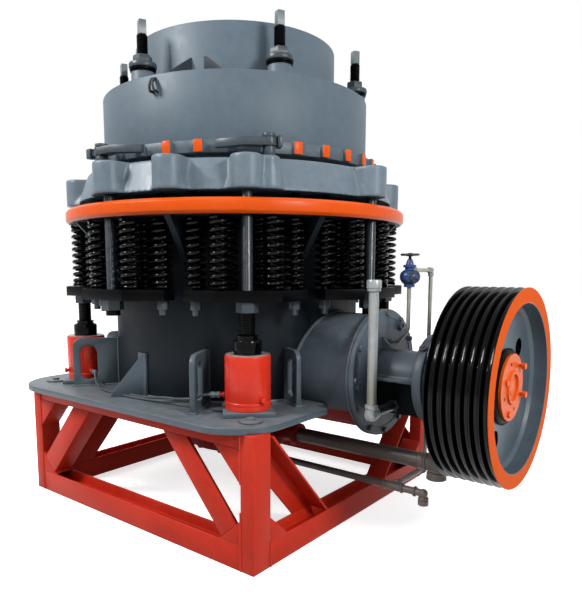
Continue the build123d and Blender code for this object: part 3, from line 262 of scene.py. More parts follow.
def merged(node):
    """A copy of a node of the frame, its loose triangles merged."""
    source = nodes[node]
    piece = source.copy()
    piece.data = source.data.copy()
    piece.name = piece.data.name = node + "_finished"
    bpy.context.scene.collection.objects.link(piece)
    piece.parent = None
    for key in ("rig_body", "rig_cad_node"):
        del piece[key]
    take(piece)
    bpy.ops.object.mode_set(mode="EDIT")
    bpy.ops.mesh.select_all(action="SELECT")
    bpy.ops.mesh.remove_doubles(threshold=0.00002)
    bpy.ops.mesh.dissolve_limited(angle_limit=math.radians(0.6))
    bpy.ops.object.mode_set(mode="OBJECT")
    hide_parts(node)
    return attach(piece, source["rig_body"])


def eased(piece, coat, width):
    """Gives a piece the small round of real edges, and its coat."""
    shaped(piece, "BEVEL", width=width, segments=2, limit_method="ANGLE", angle_limit=math.radians(38))
    return dress(smooth(piece, 42), coat)


def softened(node, coat, width):
    """A plate, beam or casting of the frame with its edges eased."""
    return eased(merged(node), coat, width)


def finished(piece, coat, body, angle=35):
    """Paints a new piece and fixes it to the body it is part of."""
    dress(smooth(piece, angle), coat)
    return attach(piece, body)


def line(name, points, radius, sides=4, kind="POLY"):
    """A bead or thin tube along points, straight, or bent where kind is NURBS."""
    bpy.ops.object.select_all(action="DESELECT")
    bpy.ops.curve.primitive_nurbs_path_add(location=(0, 0, 0))
    made = bpy.context.object
    made.data.splines.remove(made.data.splines[0])
    spline = made.data.splines.new(kind)
    spline.points.add(len(points) - 1)
    for point, place in zip(spline.points, points):
        point.co = (*place, 1.0)
    if kind == "NURBS":
        spline.order_u = 3
        spline.use_endpoint_u = True
    made.data.dimensions = "3D"
    made.data.bevel_depth = radius
    made.data.bevel_resolution = sides // 2
    made.data.use_fill_caps = True
    bpy.ops.object.convert(target="MESH")
    made = bpy.context.object
    made.name = made.data.name = name
    return made


def together(name, pieces):
    """Several meshes joined into one piece."""
    bpy.ops.object.select_all(action="DESELECT")
    for piece in pieces:
        piece.select_set(True)
    bpy.context.view_layer.objects.active = pieces[0]
    if len(pieces) > 1:
        bpy.ops.object.join()
    bpy.ops.object.transform_apply()
    pieces[0].name = pieces[0].data.name = name
    return pieces[0]


# An even bright red with a faint sheen, paler along the edges: partly thin paint, partly a painted highlight
stand_red = enamel("red_alkyd_enamel_on_rolled_steel", "#C62E18", "#AB200E", rough=0.5, gloss=0.14, cast=0.25,
                   edge="#D8503C")
for node in ("stand_posts", "side_sills", "end_sills", "side_top_rails", "end_top_rail", "side_diagonals",
             "end_diagonals", "side_gussets", "end_gussets"):
    softened(node, stand_red, 0.003)
WELD_FACE = 0.8405
POST_X = 0.768
post_welds = [(0.385, 0.533), (0.118, 0.262), (0.002, 0.112), (0.536, 0.598)]
seams = []
for x_side in (-1, 1):
    for y_side in (-1, 1):
        runs = [(POST_X * x_side, WELD_FACE * y_side, low, high) for low, high in post_welds]
        for x, y, low, high in runs + [(WELD_FACE * x_side, 0.726 * y_side, 0.002, 0.112)]:
            seams.append(line("seam", [(x, y, low), (x, y, high)], 0.004))
finished(together("stand_weld_seams", seams), stand_red, "main_frame")


# The base plate is flame-cut from 30 mm plate, with its corners rounded and a notch for the drive housing, and
# sprayed in the machine's enamel. A washer and a hexagon bolt hold each corner down.
def block(place, size):
    """A plain block, to cut with or to shape further."""
    bpy.ops.object.select_all(action="DESELECT")
    bpy.ops.mesh.primitive_cube_add(size=1, location=place, scale=size)
    bpy.ops.object.transform_apply()
    return bpy.context.object


# Blue grey, half matt, dusty where it lies level
machine_grey = enamel("blue_grey_machine_enamel_on_plate", "#4A565F", "#3C474F", rough=0.42, dust=0.4, cast=0.35)
plate = merged("base_plate")
notch = block((0.86, 0, 0.615), (0.13, 0.662, 0.1))
shaped(plate, "BOOLEAN", object=notch, operation="DIFFERENCE", solver="EXACT")
bpy.data.objects.remove(notch)
eased(plate, machine_grey, 0.004)
softened("hold_down_bolts", machine_grey, 0.002)


# The main frame is one steel casting: a shell between the base plate and a heavy ring, with the hub that carries the
# cone inside it. It is grey outside and red below the plate, and both are darkened as painted shade, under the ring and
# under the plate. Only the ring's edge is orange.
# Dark red, darkened as painted shade under the plate; dull and a little rough
hub_red = enamel("red_enamel_darkened_as_painted_shade_on_cast_steel", "#861A10", "#660F08", rough=0.55, gloss=0.12, cast=0.5)
# Dark, matt and rough: the grey drawn nearly black as painted shade under and on the ring
shell_grey = enamel("grey_enamel_in_the_shade_of_the_ring", "#171F26", "#0F151A", rough=0.5, gloss=0.12, dust=0.15,
                    cast=0.5)
for node in ("main_shell", "ring_ribs"):
    softened(node, shell_grey, 0.004)
for node in ("frame_hub", "hub_cover", "hub_arms"):
    softened(node, hub_red, 0.004)
# Smooth, saturated orange
ring_orange = enamel("orange_enamel_on_the_ring", "#E2560F", "#DA500E", rough=0.3, gloss=0.12, cast=0.03)
main_ring = softened("main_frame_ring", shell_grey, 0.004)


def from_axis(middle):
    """How far a face's middle lies from the axis."""
    return math.hypot(middle.x, middle.y)


second_coat(main_ring, ring_orange, lambda middle, normal: from_axis(middle) > 0.915 and abs(normal.z) < 0.93)
for node in ("slotted_lugs", "shell_braces"):
    softened(node, machine_grey, 0.004)


# Each lug and brace stands on the plate in a fillet weld that runs along both its faces and round its toe, and
# another runs up between it and the shell. The shell itself is welded to the plate all round.
def hoop(radius, thick, z, steps=128, sides=8):
    """A ring of round bar or weld about the machine's axis."""
    bpy.ops.object.select_all(action="DESELECT")
    bpy.ops.mesh.primitive_torus_add(major_radius=radius, minor_radius=thick, major_segments=steps,
                                     minor_segments=sides, location=(0, 0, z))
    return bpy.context.object


WELD_Z = 0.632
beads = []
for angle, reach in ((28.0, 0.838), (60.49, 0.935), (124.52, 0.935), (152.0, 0.838)):
    for side in (-1, 1):
        out = Matrix.Rotation(math.radians(side * angle), 4, "Z")
        toe = reach + 0.003
        foot = [(0.69, -0.015, WELD_Z), (toe, -0.015, WELD_Z), (toe, 0.015, WELD_Z), (0.69, 0.015, WELD_Z)]
        beads.append(line("bead", [out @ Vector(p) for p in foot], 0.007))
        rise = [(0.692, 0.014, 0.635), (0.692, 0.014, 0.893)]
        beads.append(line("bead", [out @ Vector(p) for p in rise], 0.006))
beads.append(hoop(0.692, 0.008, WELD_Z))
finished(together("plate_weld_beads", beads), machine_grey, "main_frame")


# The release springs are wound from 20 mm round bar, ten turns with closed ends, and dipped in gloss black.
# They hold the ring down and squeeze when uncrushable metal lifts it.
COIL_R = 0.040
WIRE_R = 0.010
TURNS = 10
STEPS = 20
SIDES = 8
spring_low, spring_high = (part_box("springs")[i].z for i in (0, 1))


def wound(name, height):
    """One coil spring, its first and last turns laid flat on their neighbours."""
    bpy.ops.object.select_all(action="DESELECT")
    bpy.ops.mesh.primitive_circle_add(vertices=SIDES, radius=WIRE_R, location=(COIL_R, 0, 0),
                                      rotation=(math.pi / 2, 0, 0))
    coil = bpy.context.object
    coil.name = name
    bpy.ops.object.transform_apply()
    shaped(coil, "SCREW", angle=math.tau, screw_offset=1.0, iterations=TURNS, steps=STEPS, render_steps=STEPS)
    pitch = (height - 6 * WIRE_R) / (TURNS - 2)
    for i, point in enumerate(coil.data.vertices):
        turn = (i // SIDES) / STEPS
        low = min(turn, 1.0)
        high = max(turn - (TURNS - 1), 0.0)
        lift = WIRE_R + 2 * WIRE_R * (low + high) + pitch * (turn - low - high)
        point.co.z += lift - turn
    take(coil)
    bpy.ops.object.mode_set(mode="EDIT")
    bpy.ops.mesh.select_all(action="SELECT")
    bpy.ops.mesh.fill_holes(sides=0)
    bpy.ops.mesh.normals_make_consistent()
    bpy.ops.object.mode_set(mode="OBJECT")
    return smooth(coil, 60)


def copies(piece, name, places):
    """Copies of one piece, each put in its place, joined into one."""
    made = []
    for place in places:
        twin = piece.copy()
        twin.data = piece.data.copy()
        bpy.context.scene.collection.objects.link(twin)
        twin.matrix_world = place
        made.append(twin)
    bpy.data.objects.remove(piece)
    return together(name, made)


def around(radius, degrees, z=0.0, spin=None):
    """A place on a circle about the axis, facing outwards."""
    turned_to = Matrix.Rotation(math.radians(degrees if spin is None else spin), 4, "Z")
    out = Vector((radius * math.cos(math.radians(degrees)), radius * math.sin(math.radians(degrees)), z))
    return Matrix.Translation(out) @ turned_to


group_angles = [45 * i for i in range(8)]
spring_spots = [(0.750, 6.0), (0.870, 8.0), (0.800, 16.5)]
places = [around(radius, angle + side * off, spring_low)
          for angle in group_angles for radius, off in spring_spots for side in (-1, 1)]
springs = copies(wound("release_spring", spring_high - spring_low), "release_springs", places)
# Glossy black, a thin bright line on each turn
gloss_black = enamel("black_dip_enamel_on_spring_steel", "#050507", "#020203", rough=0.12, gloss=0.12, cast=0.1)
dress(springs, gloss_black)
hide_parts("springs")
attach(springs, "main_frame")
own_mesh(springs)


# Under each group of springs a cast black seat hangs from one heavy bolt and two lighter ones. Their nuts are
# grey, the heavy rods dark grey and the light ones black. At the corners a thread runs on down to the jack.
def turned(name, outline, sides=32):
    """A piece as from a lathe, given by its radii and heights."""
    bpy.ops.object.select_all(action="DESELECT")
    radius, height = outline[0]
    bpy.ops.mesh.primitive_circle_add(vertices=sides, radius=radius, fill_type="NGON", location=(0, 0, height),
                                      enter_editmode=True)
    for wide, high in outline[1:]:
        bpy.ops.mesh.extrude_region_move(TRANSFORM_OT_translate={"value": (0, 0, high - height)})
        bpy.ops.transform.resize(value=(wide / radius, wide / radius, 1), center_override=(0, 0, high))
        radius, height = wide, high
    bpy.ops.mesh.select_all(action="SELECT")
    bpy.ops.mesh.normals_make_consistent()
    bpy.ops.object.mode_set(mode="OBJECT")
    bpy.ops.object.transform_apply()
    made = bpy.context.object
    made.name = made.data.name = name
    return made


def ridges(radius, depth, low, high, pitch):
    """The outline of a thread, drawn as even rings."""
    count = int((high - low) / pitch)
    step = (high - low) / count
    outline = []
    for i in range(count):
        outline += [(radius - depth, low + step * i), (radius, low + step * (i + 0.5))]
    return outline + [(radius - depth, high)]


# Dark, with hardly a sheen
rod_black = enamel("black_enamel_on_forged_bolts", "#060708", "#030304", rough=0.3, gloss=0.04, cast=0.15)
softened("spring_seats", rod_black, 0.003)
# Darker than on the plates
bolt_grey = enamel("grey_enamel_on_forged_nuts", "#3E4950", "#30393F", rough=0.38, gloss=0.3, cast=0.2)
# Smooth, with one long bright line
rod_grey = enamel("dark_grey_enamel_on_long_rods", "#2A3339", "#1E262B", rough=0.28, gloss=0.3, cast=0.1)
spring_bolts = softened("spring_bolts", bolt_grey, 0.003)
HEAVY_R = 0.88
HEAVY_FROM = 0.84
second_coat(spring_bolts, rod_grey, lambda middle, normal: middle.z > 1.2 and from_axis(middle) > HEAVY_FROM)
second_coat(spring_bolts, rod_black, lambda middle, normal: middle.z > 1.2 and from_axis(middle) < HEAVY_FROM)
second_coat(spring_bolts, rod_black, lambda middle, normal: middle.z < 1.08 and from_axis(middle) > HEAVY_FROM)
corner_angles = (45, 135, 225, 315)
thread = turned("thread", ridges(0.0355, 0.004, 0.986, 1.078, 0.0115), 24)
threads = copies(thread, "jack_bolt_threads", [around(HEAVY_R, a) for a in corner_angles])
finished(threads, rod_black, "upper_works", 20)
nut = turned("main_nut", [(0.048, 1.081), (0.0508, 1.084), (0.0508, 1.127), (0.048, 1.130)], 6)
nuts = copies(nut, "heavy_bolt_nuts", [around(HEAVY_R, a) for a in group_angles])
finished(nuts, bolt_grey, "upper_works")


# The countershaft runs in a welded housing that is red below the base plate, closed by a bolted cover, and
# on through a tube with a sump under it and a rib on each side, to a round bearing housing.
SHAFT_Z = 0.768


def along_x(x, y=0.0, z=SHAFT_Z, spin=0.0):
    """A place with its upright axis laid along the shaft, towards the pulley."""
    return Matrix.Translation((x, y, z)) @ Matrix.Rotation(math.pi / 2, 4, "Y") @ Matrix.Rotation(spin, 4, "Z")


def off_shaft(radius, angle, x):
    """A place at a radius and an angle in radians from the shaft, facing away from it."""
    return along_x(x, radius * math.cos(angle), SHAFT_Z + radius * math.sin(angle), angle)


def cut_off(piece, spot, out):
    """Cuts away what lies beyond a spot and closes the cut."""
    take(piece)
    bpy.ops.object.mode_set(mode="EDIT")
    bpy.ops.mesh.select_all(action="SELECT")
    bpy.ops.mesh.bisect(plane_co=spot, plane_no=out, clear_outer=True, use_fill=True)
    bpy.ops.object.mode_set(mode="OBJECT")


# Blue grey, darker towards the bottom as painted shade
drive_grey = enamel("blue_grey_enamel_on_the_drive_housing", "#56626B", "#475159", rough=0.44, gloss=0.2, dust=0.3,
                    cast=0.3, stain_and_shade="#1B2226", stain_and_shade_z=(0.42, 0.76))
housing = softened("countershaft_housing", drive_grey, 0.003)
# Below the plate the housing is red, darker there as painted shade
second_coat(housing, hub_red, lambda middle, normal: middle.z < 0.6)
cover = turned("housing_cover_flange", [
    (0.306, 0.937), (0.312, 0.943), (0.312, 0.953), (0.3085, 0.954), (0.3085, 0.959), (0.312, 0.960), (0.312, 0.974),
    (0.308, 0.980), (0.272, 0.980), (0.270, 0.977), (0.150, 0.977), (0.148, 0.980), (0.119, 0.980)], 96)
cover.matrix_world = along_x(0)
head = turned("cover_bolt", [(0.0165, 0), (0.0165, 0.0015), (0.0135, 0.0015), (0.0135, 0.011), (0.0115, 0.014)], 6)
heads = copies(head, "cover_bolts", [off_shaft(0.290, math.tau / 12 * i, 0.979) for i in range(12)])
lug = turned("cover_ear", [(0.024, 0), (0.024, 0.018), (0.012, 0.020), (0.012, 0.012)], 20)
ears = copies(lug, "cover_ears", [along_x(0.978, 0.262 * math.cos(a), SHAFT_Z + 0.262 * math.sin(a))
                                  for a in (1.0, 3.25)])
cover = together("housing_cover_finished", [cover, heads, ears])
finished(cover, drive_grey, "main_frame", 30)
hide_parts("housing_cover")
# Almost black as painted shade under the tube, and without gloss
sump_shade = enamel("grey_enamel_darkened_as_painted_shade_on_the_sump", "#0B1014", "#06090B", rough=0.5, gloss=0.03, cast=0.3)
tube = softened("shaft_tube", drive_grey, 0.003)
second_coat(tube, sump_shade, lambda middle, normal: middle.z < 0.752)
softened("bearing_housing", drive_grey, 0.004)
cap_bolt = turned("cap_bolt", [(0.0125, 0), (0.0125, 0.008), (0.0105, 0.010)], 6)
cap_bolts = copies(cap_bolt, "bearing_cap_bolts", [off_shaft(0.168, 0.4 + math.tau / 8 * i, 1.288) for i in range(8)])
plug = turned("plug", [(0.012, 0), (0.012, 0.012), (0.017, 0.012), (0.017, 0.020), (0.009, 0.021), (0.009, 0.028)], 16)
plug.matrix_world = Matrix.Translation((1.24, -0.135, 0.915)) @ Matrix.Rotation(math.radians(43), 4, "X")
web = line("web", [(0.982, -0.03, 0.945), (0.982, -0.03, 0.886), (1.052, -0.03, 0.886)], 0.006)
rib = block((1.013, -0.03, 0.912), (0.068, 0.012, 0.060))
cut_off(rib, (0.982, 0, 0.940), (0.66, 0, 0.75))
side_beads = [line("bead", [(0.982, y, 0.770), (1.216, y, 0.770)], 0.009) for y in (-0.119, 0.119)]
small = together("drive_small_parts", [cap_bolts, plug, web, rib] + side_beads)
finished(small, drive_grey, "main_frame")
# Pale grey with a soft shine
ground_steel = enamel("ground_steel_shaft", "#8E9092", "#7A7C7E", rough=0.3, cast=0.1)
dress(nodes["countershaft"], ground_steel)
# The weld between housing and shell, drawn flat and pushed out onto the shell's round
half_round = [math.pi * i / 40 for i in range(41)]
bead = line("bead", [(0.0, 0.287 * math.cos(a), SHAFT_Z + 0.287 * math.sin(a)) for a in half_round], 0.009)
for point in bead.data.vertices:
    point.co.x = (0.694 ** 2 - min(point.co.y ** 2, 0.3)) ** 0.5 + (point.co.x * 0.9)
finished(bead, drive_grey, "main_frame")


# The drive pulley is cast iron with seven turned V-grooves. Its grooves are gloss black, the turned face of
# its rim is orange and the dished web grey, and a black ring stands round its hub.
GROOVES = 7
PITCH = 0.037
PULLEY_BACK = 1.374
flank = [(0.430, 0.0162), (0.4275, 0.0142), (0.4045, 0.0078), (0.4035, 0.005)]
grooves = [(0.428, PULLEY_BACK), (0.430, 1.3755)]
for i in range(GROOVES):
    middle = PULLEY_BACK + 0.0015 + PITCH * (i + 0.5)
    grooves += [(r, middle - x) for r, x in flank] + [(r, middle + x) for r, x in reversed(flank)]
wheel = turned("drive_pulley", [
    (0.150, 1.400), (0.150, 1.506), (0.160, 1.514), (0.345, 1.510), (0.362, 1.500), (0.366, 1.480), (0.368, 1.376)]
    + grooves + [(0.430, 1.6345), (0.4285, 1.636), (0.3665, 1.636), (0.364, 1.634), (0.3625, 1.600), (0.358, 1.578),
                 (0.345, 1.563), (0.322, 1.556), (0.260, 1.553), (0.190, 1.552), (0.162, 1.555), (0.152, 1.562),
                 (0.150, 1.577)], 128)
wheel.matrix_world = along_x(0)
cutters = []
for degrees in (40, 250):
    y, z = 0.238 * math.cos(math.radians(degrees)), 0.238 * math.sin(math.radians(degrees))
    cutter = turned("cutter", [(0.042, 1.45), (0.042, 1.60)], 40)
    cutter.matrix_world = along_x(0, y, SHAFT_Z + z)
    cutters.append(cutter)
wheel = together("drive_pulley", [wheel])
cutter = together("cutters", cutters)
shaped(wheel, "BOOLEAN", object=cutter, operation="DIFFERENCE", solver="EXACT")
bpy.data.objects.remove(cutter)
finished(wheel, gloss_black, "countershaft", 24)
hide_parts("pulley")
# Smooth blue grey
web_grey = enamel("grey_enamel_on_the_pulley_web", "#45515A", "#39444C", rough=0.36, cast=0.3)


def from_shaft(middle):
    """How far a face's middle lies from the shaft's."""
    return math.hypot(middle.y, middle.z - SHAFT_Z)


def on_web(middle, normal):
    """The web and the rim's inside, but not the walls of the two holes, which keep the grooves' black as painted shade.
    """
    hole_wall = abs(normal.x) <= 0.3 and 0.17 < from_shaft(middle) < 0.3
    return from_shaft(middle) < 0.372 and not hole_wall


second_coat(wheel, web_grey, on_web)
# Flat orange, hardly glossy
rim_orange = enamel("orange_enamel_on_the_turned_rim", "#D1540F", "#C84E0D", rough=0.5, gloss=0.02, cast=0.03)
second_coat(wheel, rim_orange, lambda middle, normal: middle.x > 1.6352 and from_shaft(middle) > 0.2)
hub_ring = turned("hub_ring", [
    (0.166, 1.551), (0.168, 1.557), (0.168, 1.566), (0.160, 1.574), (0.152, 1.577), (0.120, 1.577)], 64)
hub_ring.matrix_world = along_x(0)
finished(together("pulley_hub_ring", [hub_ring]), rod_black, "countershaft")


# An orange steel disc locks the pulley to its shaft. It has a raised ring, three small holes drawn as black discs of
# painted shade, two short screws and two long jacking bolts.
# Orange, half gloss
disc_orange = enamel("orange_enamel_on_the_lock_disc", "#D95A18", "#CE5214", rough=0.34, gloss=0.12, cast=0.15)
disc = turned("lock_disc_plate", [
    (0.147, 1.5775), (0.147, 1.5885), (0.1455, 1.590), (0.076, 1.590), (0.0745, 1.592), (0.074, 1.598), (0.072, 1.599),
    (0.060, 1.599), (0.058, 1.597), (0.057, 1.589), (0.034, 1.588), (0.032, 1.591), (0.012, 1.592)], 72)
disc.matrix_world = along_x(0)
bolt = turned("jacking_bolt", [(0.0085, 0), (0.0085, 0.014), (0.016, 0.014), (0.016, 0.029), (0.014, 0.031)], 6)
bolts = copies(bolt, "jacking_bolts", [off_shaft(0.118, math.radians(a), 1.588) for a in (46, -23)])
screw = turned("screw", [(0.0145, 0), (0.0145, 0.008), (0.0125, 0.010)], 6)
screws = copies(screw, "lock_screws", [off_shaft(r, math.radians(a), 1.589) for r, a in ((0.118, 252), (0.090, 160))])
disc = finished(together("lock_disc_finished", [disc, bolts, screws]), disc_orange, "countershaft")
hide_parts("lock_disc")
# The small holes are not cut: thin black discs on the disc's face stand for them, as painted shade
hole = turned("hole", [(0.0075, 0), (0.0075, 0.0012)], 16)
holes = copies(hole, "lock_disc_hole_shades", [off_shaft(0.107, math.radians(a), 1.5895) for a in (105, -70, 200)])
finished(holes, rod_black, "countershaft")


# The adjustment ring is a steel casting with nine bosses blended into its wall. The bowl screws into it and
# carries a ring of teeth, whose outer ends are painted orange.
def cast_round(node, flares, coat, grain, passes):
    """A casting of the frame with the rounds and blends that a sand mould gives."""
    piece = merged(node)
    together(piece.name, [piece] + flares)
    shaped(piece, "REMESH", mode="VOXEL", voxel_size=grain)
    shaped(piece, "SMOOTH", factor=0.5, iterations=passes)
    smooth(piece, 60)
    return dress(piece, coat)


# Pale blue grey over a rough skin
upper_grey = enamel("blue_grey_enamel_on_the_upper_castings", "#6E7E89", "#5C6A74", rough=0.42, dust=0.3, cast=0.4)
flare = turned("flare", [(0.098, 1.617), (0.070, 1.690), (0.056, 1.761)], 32)
stump = turned("stump", [(0.066, 1.617), (0.056, 1.700), (0.050, 1.761)], 32)
LEFT_PAWL_AT, RIGHT_PAWL_AT = -95.5, -38.3
flares = [copies(flare, "flares", [around(0.838, a) for a in group_angles + [-67.5]]),
          copies(stump, "stumps", [around(0.850, a) for a in (LEFT_PAWL_AT, RIGHT_PAWL_AT)])]
cast_round("adjustment_ring", flares, upper_grey, 0.007, 6)
# A darker grey
tooth_grey = enamel("dark_grey_enamel_on_the_tooth_ring", "#56626B", "#47525A", rough=0.42, gloss=0.28, dust=0.2,
                    cast=0.3)
teeth = softened("tooth_ring", tooth_grey, 0.003)


def tooth_end(middle, normal):
    """The outer end of a tooth that no pawl covers."""
    angle = math.degrees(math.atan2(middle.y, middle.x))
    covered = -55 < angle < -33 or -137 < angle < -76
    return from_axis(middle) > 0.783 and abs(normal.z) < 0.5 and not covered


second_coat(teeth, ring_orange, tooth_end)
dress(nodes["bowl"], upper_grey)


# The cap and the feed hopper are rolled from plate and welded, with gussets between them and an eye on the
# cap for a chain.
# Even blue grey, half matt
cap_grey = enamel("blue_grey_enamel_on_rolled_plate", "#5C6B76", "#505E68", rough=0.5, gloss=0.28, dust=0.3, cast=0.15)
for node in ("cap_drum", "hopper"):
    softened(node, cap_grey, 0.004)
# Dark grey, darker than the cap as painted shade on the gussets; nearly matt
gusset_grey = enamel("grey_enamel_darkened_as_painted_shade_on_gussets", "#2E363B", "#242B2F", rough=0.42, gloss=0.25, cast=0.25)
softened("hopper_gussets", gusset_grey, 0.002)
rounds = [hoop(0.550, 0.006, 2.162), hoop(0.729, 0.005, 1.849)]
finished(together("cap_weld_beads", rounds), cap_grey, "upper_works")
turn_to = Matrix.Rotation(math.radians(-78.5), 4, "Z")
legs = []
for side in (-1, 1):
    bow = [(0.722, 0.003 * side, 2.142), (0.740, 0.004 * side, 2.139), (0.755, 0.007 * side, 2.120),
           (0.758, 0.010 * side, 2.098), (0.750, 0.013 * side, 2.080)]
    foot = [(0.750, 0.013 * side, 2.082), (0.722, 0.012 * side, 2.082)]
    legs.append(line("leg", [turn_to @ Vector(p) for p in bow], 0.0062, 6, "NURBS"))
    legs.append(line("leg", [turn_to @ Vector(p) for p in foot], 0.0068, 6))
eye = finished(together("cap_lifting_eye", legs), gusset_grey, "upper_works", 50)
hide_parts("lifting_lug")


# Six long bolts hold the bowl's liner up through the cap: each has a bare squared end, a black thread, a grey
# hexagon nut, and a wide washer over two rubber rings.
BOWL_BOLT_R = 0.662
bolt_angles = [-90 + 60 * i for i in range(6)]
bolt_places = [around(BOWL_BOLT_R, a) for a in bolt_angles]
nut = turned("nut", [(0.0452, 2.246), (0.0462, 2.250), (0.0462, 2.274), (0.042, 2.282)], 6)
washer = turned("washer", [
    (0.060, 2.2205), (0.065, 2.2235), (0.0665, 2.227), (0.0665, 2.240), (0.064, 2.2455), (0.046, 2.2462)], 40)
nuts = copies(together("nut", [nut, washer]), "bowl_bolt_nuts", bolt_places)
finished(nuts, bolt_grey, "upper_works")
neck = turned("neck", [(0.056, 2.2), (0.054, 2.221)], 32)
finished(copies(neck, "bowl_bolt_necks", bolt_places), cap_grey, "upper_works")
band = turned("band", [(0.054, 2.202), (0.060, 2.2045), (0.0605, 2.2075), (0.0575, 2.210), (0.0575, 2.211),
                       (0.063, 2.2135), (0.0635, 2.218), (0.056, 2.221)], 40)
thread = turned("thread", [(0.023, 2.280)] + ridges(0.0265, 0.0028, 2.283, 2.374, 0.0068) + [(0.023, 2.378)], 20)
dark = copies(together("dark", [band, thread]), "bowl_bolt_threads", bolt_places)
finished(dark, rod_black, "upper_works", 20)
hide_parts("bowl_bolts")
# Grey, with a soft shine
bare_steel = enamel("bare_machined_steel", "#6F7A7C", "#566062", rough=0.36, gloss=0.5, cast=0.15)
square = turned("square", [(0.0225, 2.376), (0.0245, 2.379), (0.0245, 2.440), (0.022, 2.444)], 4)
squares = copies(square, "bowl_bolt_square_ends", [around(BOWL_BOLT_R, a, 0, 20) for a in bolt_angles])
finished(squares, bare_steel, "upper_works")


# The crushing cone and the bowl's liner are raw manganese steel castings with a rough skin that rusts lightly.
# They sit deep inside, so they stay as the frame has them.
# Dark and rough, with rust low down
manganese = enamel("raw_manganese_steel_casting", "#4A4643", "#37342F", rough=0.6, cast=0.8, stain_and_shade="#5A3E2C",
                   stain_and_shade_z=(1.4, 2.0))
for node in ("mantle", "bowl_liner", "feed_plate", "cone_head"):
    dress(nodes[node], manganese)


# Two forged pawls swing on posts of the adjustment ring and lock the bowl's teeth. Each turns on a pin with a
# broad head and has a lever block on its tail. The right one's tail is cut short behind its block.
left = softened("left_pawl", bolt_grey, 0.005)
right = merged("right_pawl")
PAWL_PIN_R = 0.858
TAIL_TURN = 51.7
pivot = around(PAWL_PIN_R, RIGHT_PAWL_AT).translation
back = Vector((math.cos(math.radians(TAIL_TURN)), math.sin(math.radians(TAIL_TURN)), 0))
cut_off(right, pivot + 0.052 * back, back)
for piece in (left, eased(right, bolt_grey, 0.005), softened("pawl_pins", bolt_grey, 0.003)):
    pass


def lever_block(name, degrees, tail_turn, size, behind):
    """A small forged block, clamped on a pawl's tail so far behind its pin."""
    made = block((0, 0, 0), size)
    bpy.ops.object.mode_set(mode="EDIT")
    bpy.ops.mesh.select_all(action="SELECT")
    bpy.ops.mesh.bevel(offset=0.004, segments=2)
    bpy.ops.object.mode_set(mode="OBJECT")
    made.matrix_world = around(PAWL_PIN_R, degrees, 1.822, tail_turn) @ Matrix.Translation((behind, 0, 0))
    return together(name, [made])


left_lever = lever_block("left_pawl_lever", LEFT_PAWL_AT, -185.5, (0.040, 0.038, 0.046), 0.094)
finished(left_lever, bolt_grey, "left_pawl")
right_lever = lever_block("right_pawl_lever", RIGHT_PAWL_AT, TAIL_TURN, (0.022, 0.050, 0.050), 0.045)
finished(right_lever, bolt_grey, "right_pawl")


# The release jacks are red hydraulic cylinders on small base plates, with a ring welded round the foot, a
# bleed plug and a pipe coupling, and a gloss black ram under the heavy bolt of the corner springs.
# Bright red with one soft highlight
jack_red = enamel("gloss_red_enamel_on_jack_cylinders", "#D9351F", "#CE2D19", rough=0.28, gloss=0.26, cast=0.02)
softened("jack_bases", machine_grey, 0.002)
jack_places = [around(HEAVY_R, a, 0, 0) for a in corner_angles]
can = turned("jack_can", [
    (0.100, 0.651), (0.103, 0.654), (0.103, 0.676), (0.105, 0.678), (0.105, 0.686), (0.1025, 0.689), (0.104, 0.692),
    (0.104, 0.888), (0.1025, 0.893), (0.097, 0.896), (0.072, 0.896), (0.072, 0.730)], 64)
cans = finished(copies(can, "jack_cans", jack_places), jack_red, "main_frame", 30)
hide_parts("jack_cylinders")
# Pale pinkish grey, shiny: a painted highlight along the top rim of each cylinder
jack_rim_highlight = enamel("painted_highlight_on_the_jack_rim", "#A09490", "#857A76", rough=0.28, gloss=0.6, cast=0.1)
rim = turned("rim", [(0.0975, 0.8945), (0.098, 0.8975), (0.0925, 0.8985), (0.0645, 0.8975), (0.0645, 0.893)], 64)
finished(copies(rim, "jack_rims", jack_places), jack_rim_highlight, "main_frame")
ram = turned("jack_ram", [
    (0.0635, 0.735), (0.0635, 0.900), (0.062, 0.902), (0.062, 0.906), (0.0638, 0.908), (0.0638, 0.953), (0.060, 0.961),
    (0.050, 0.962), (0.050, 0.966), (0.044, 0.968), (0.044, 0.973), (0.049, 0.975), (0.049, 0.980), (0.046, 0.982)], 56)
rams = finished(copies(ram, "jack_ram_heads", jack_places), gloss_black, "rams", 30)
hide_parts("jack_rams")


def toward(place, degrees):
    """A place with its upright axis laid level, so many degrees round from the pulley's side."""
    flat = Matrix.Rotation(math.radians(degrees), 4, "Z") @ Matrix.Rotation(math.pi / 2, 4, "Y")
    return Matrix.Translation(place) @ flat


plug_red = turned("bleed_plug", [(0.009, 0.098), (0.009, 0.112), (0.014, 0.112), (0.014, 0.122), (0.010, 0.125)], 6)
corner = [place.translation for place in jack_places]
plugs = copies(plug_red, "jack_plugs", [toward(spot + Vector((0, 0, 0.700)), out)
                                        for spot, out in zip(corner, (15, 165, 250, -12))])
ports = [(corner[3] + Vector((0, 0, 0.712)), 219), (corner[2] + Vector((0, 0, 0.700)), -20)]
nipple = turned("nipple", [
    (0.008, 0.098), (0.008, 0.104), (0.013, 0.106), (0.013, 0.114), (0.009, 0.116), (0.009, 0.128)], 12)
nipples = copies(nipple, "jack_nipples", [toward(*port) for port in ports])
finished(together("jack_ports", [plugs, nipples]), jack_red, "main_frame")
coupling = turned("coupling", [
    (0.012, 0.124), (0.0155, 0.126), (0.0155, 0.140), (0.0125, 0.142), (0.0125, 0.148), (0.015, 0.150),
    (0.015, 0.166), (0.010, 0.168), (0.0085, 0.176)], 6)
couplings = copies(coupling, "jack_couplings", [toward(*port) for port in ports])
finished(couplings, bare_steel, "main_frame")


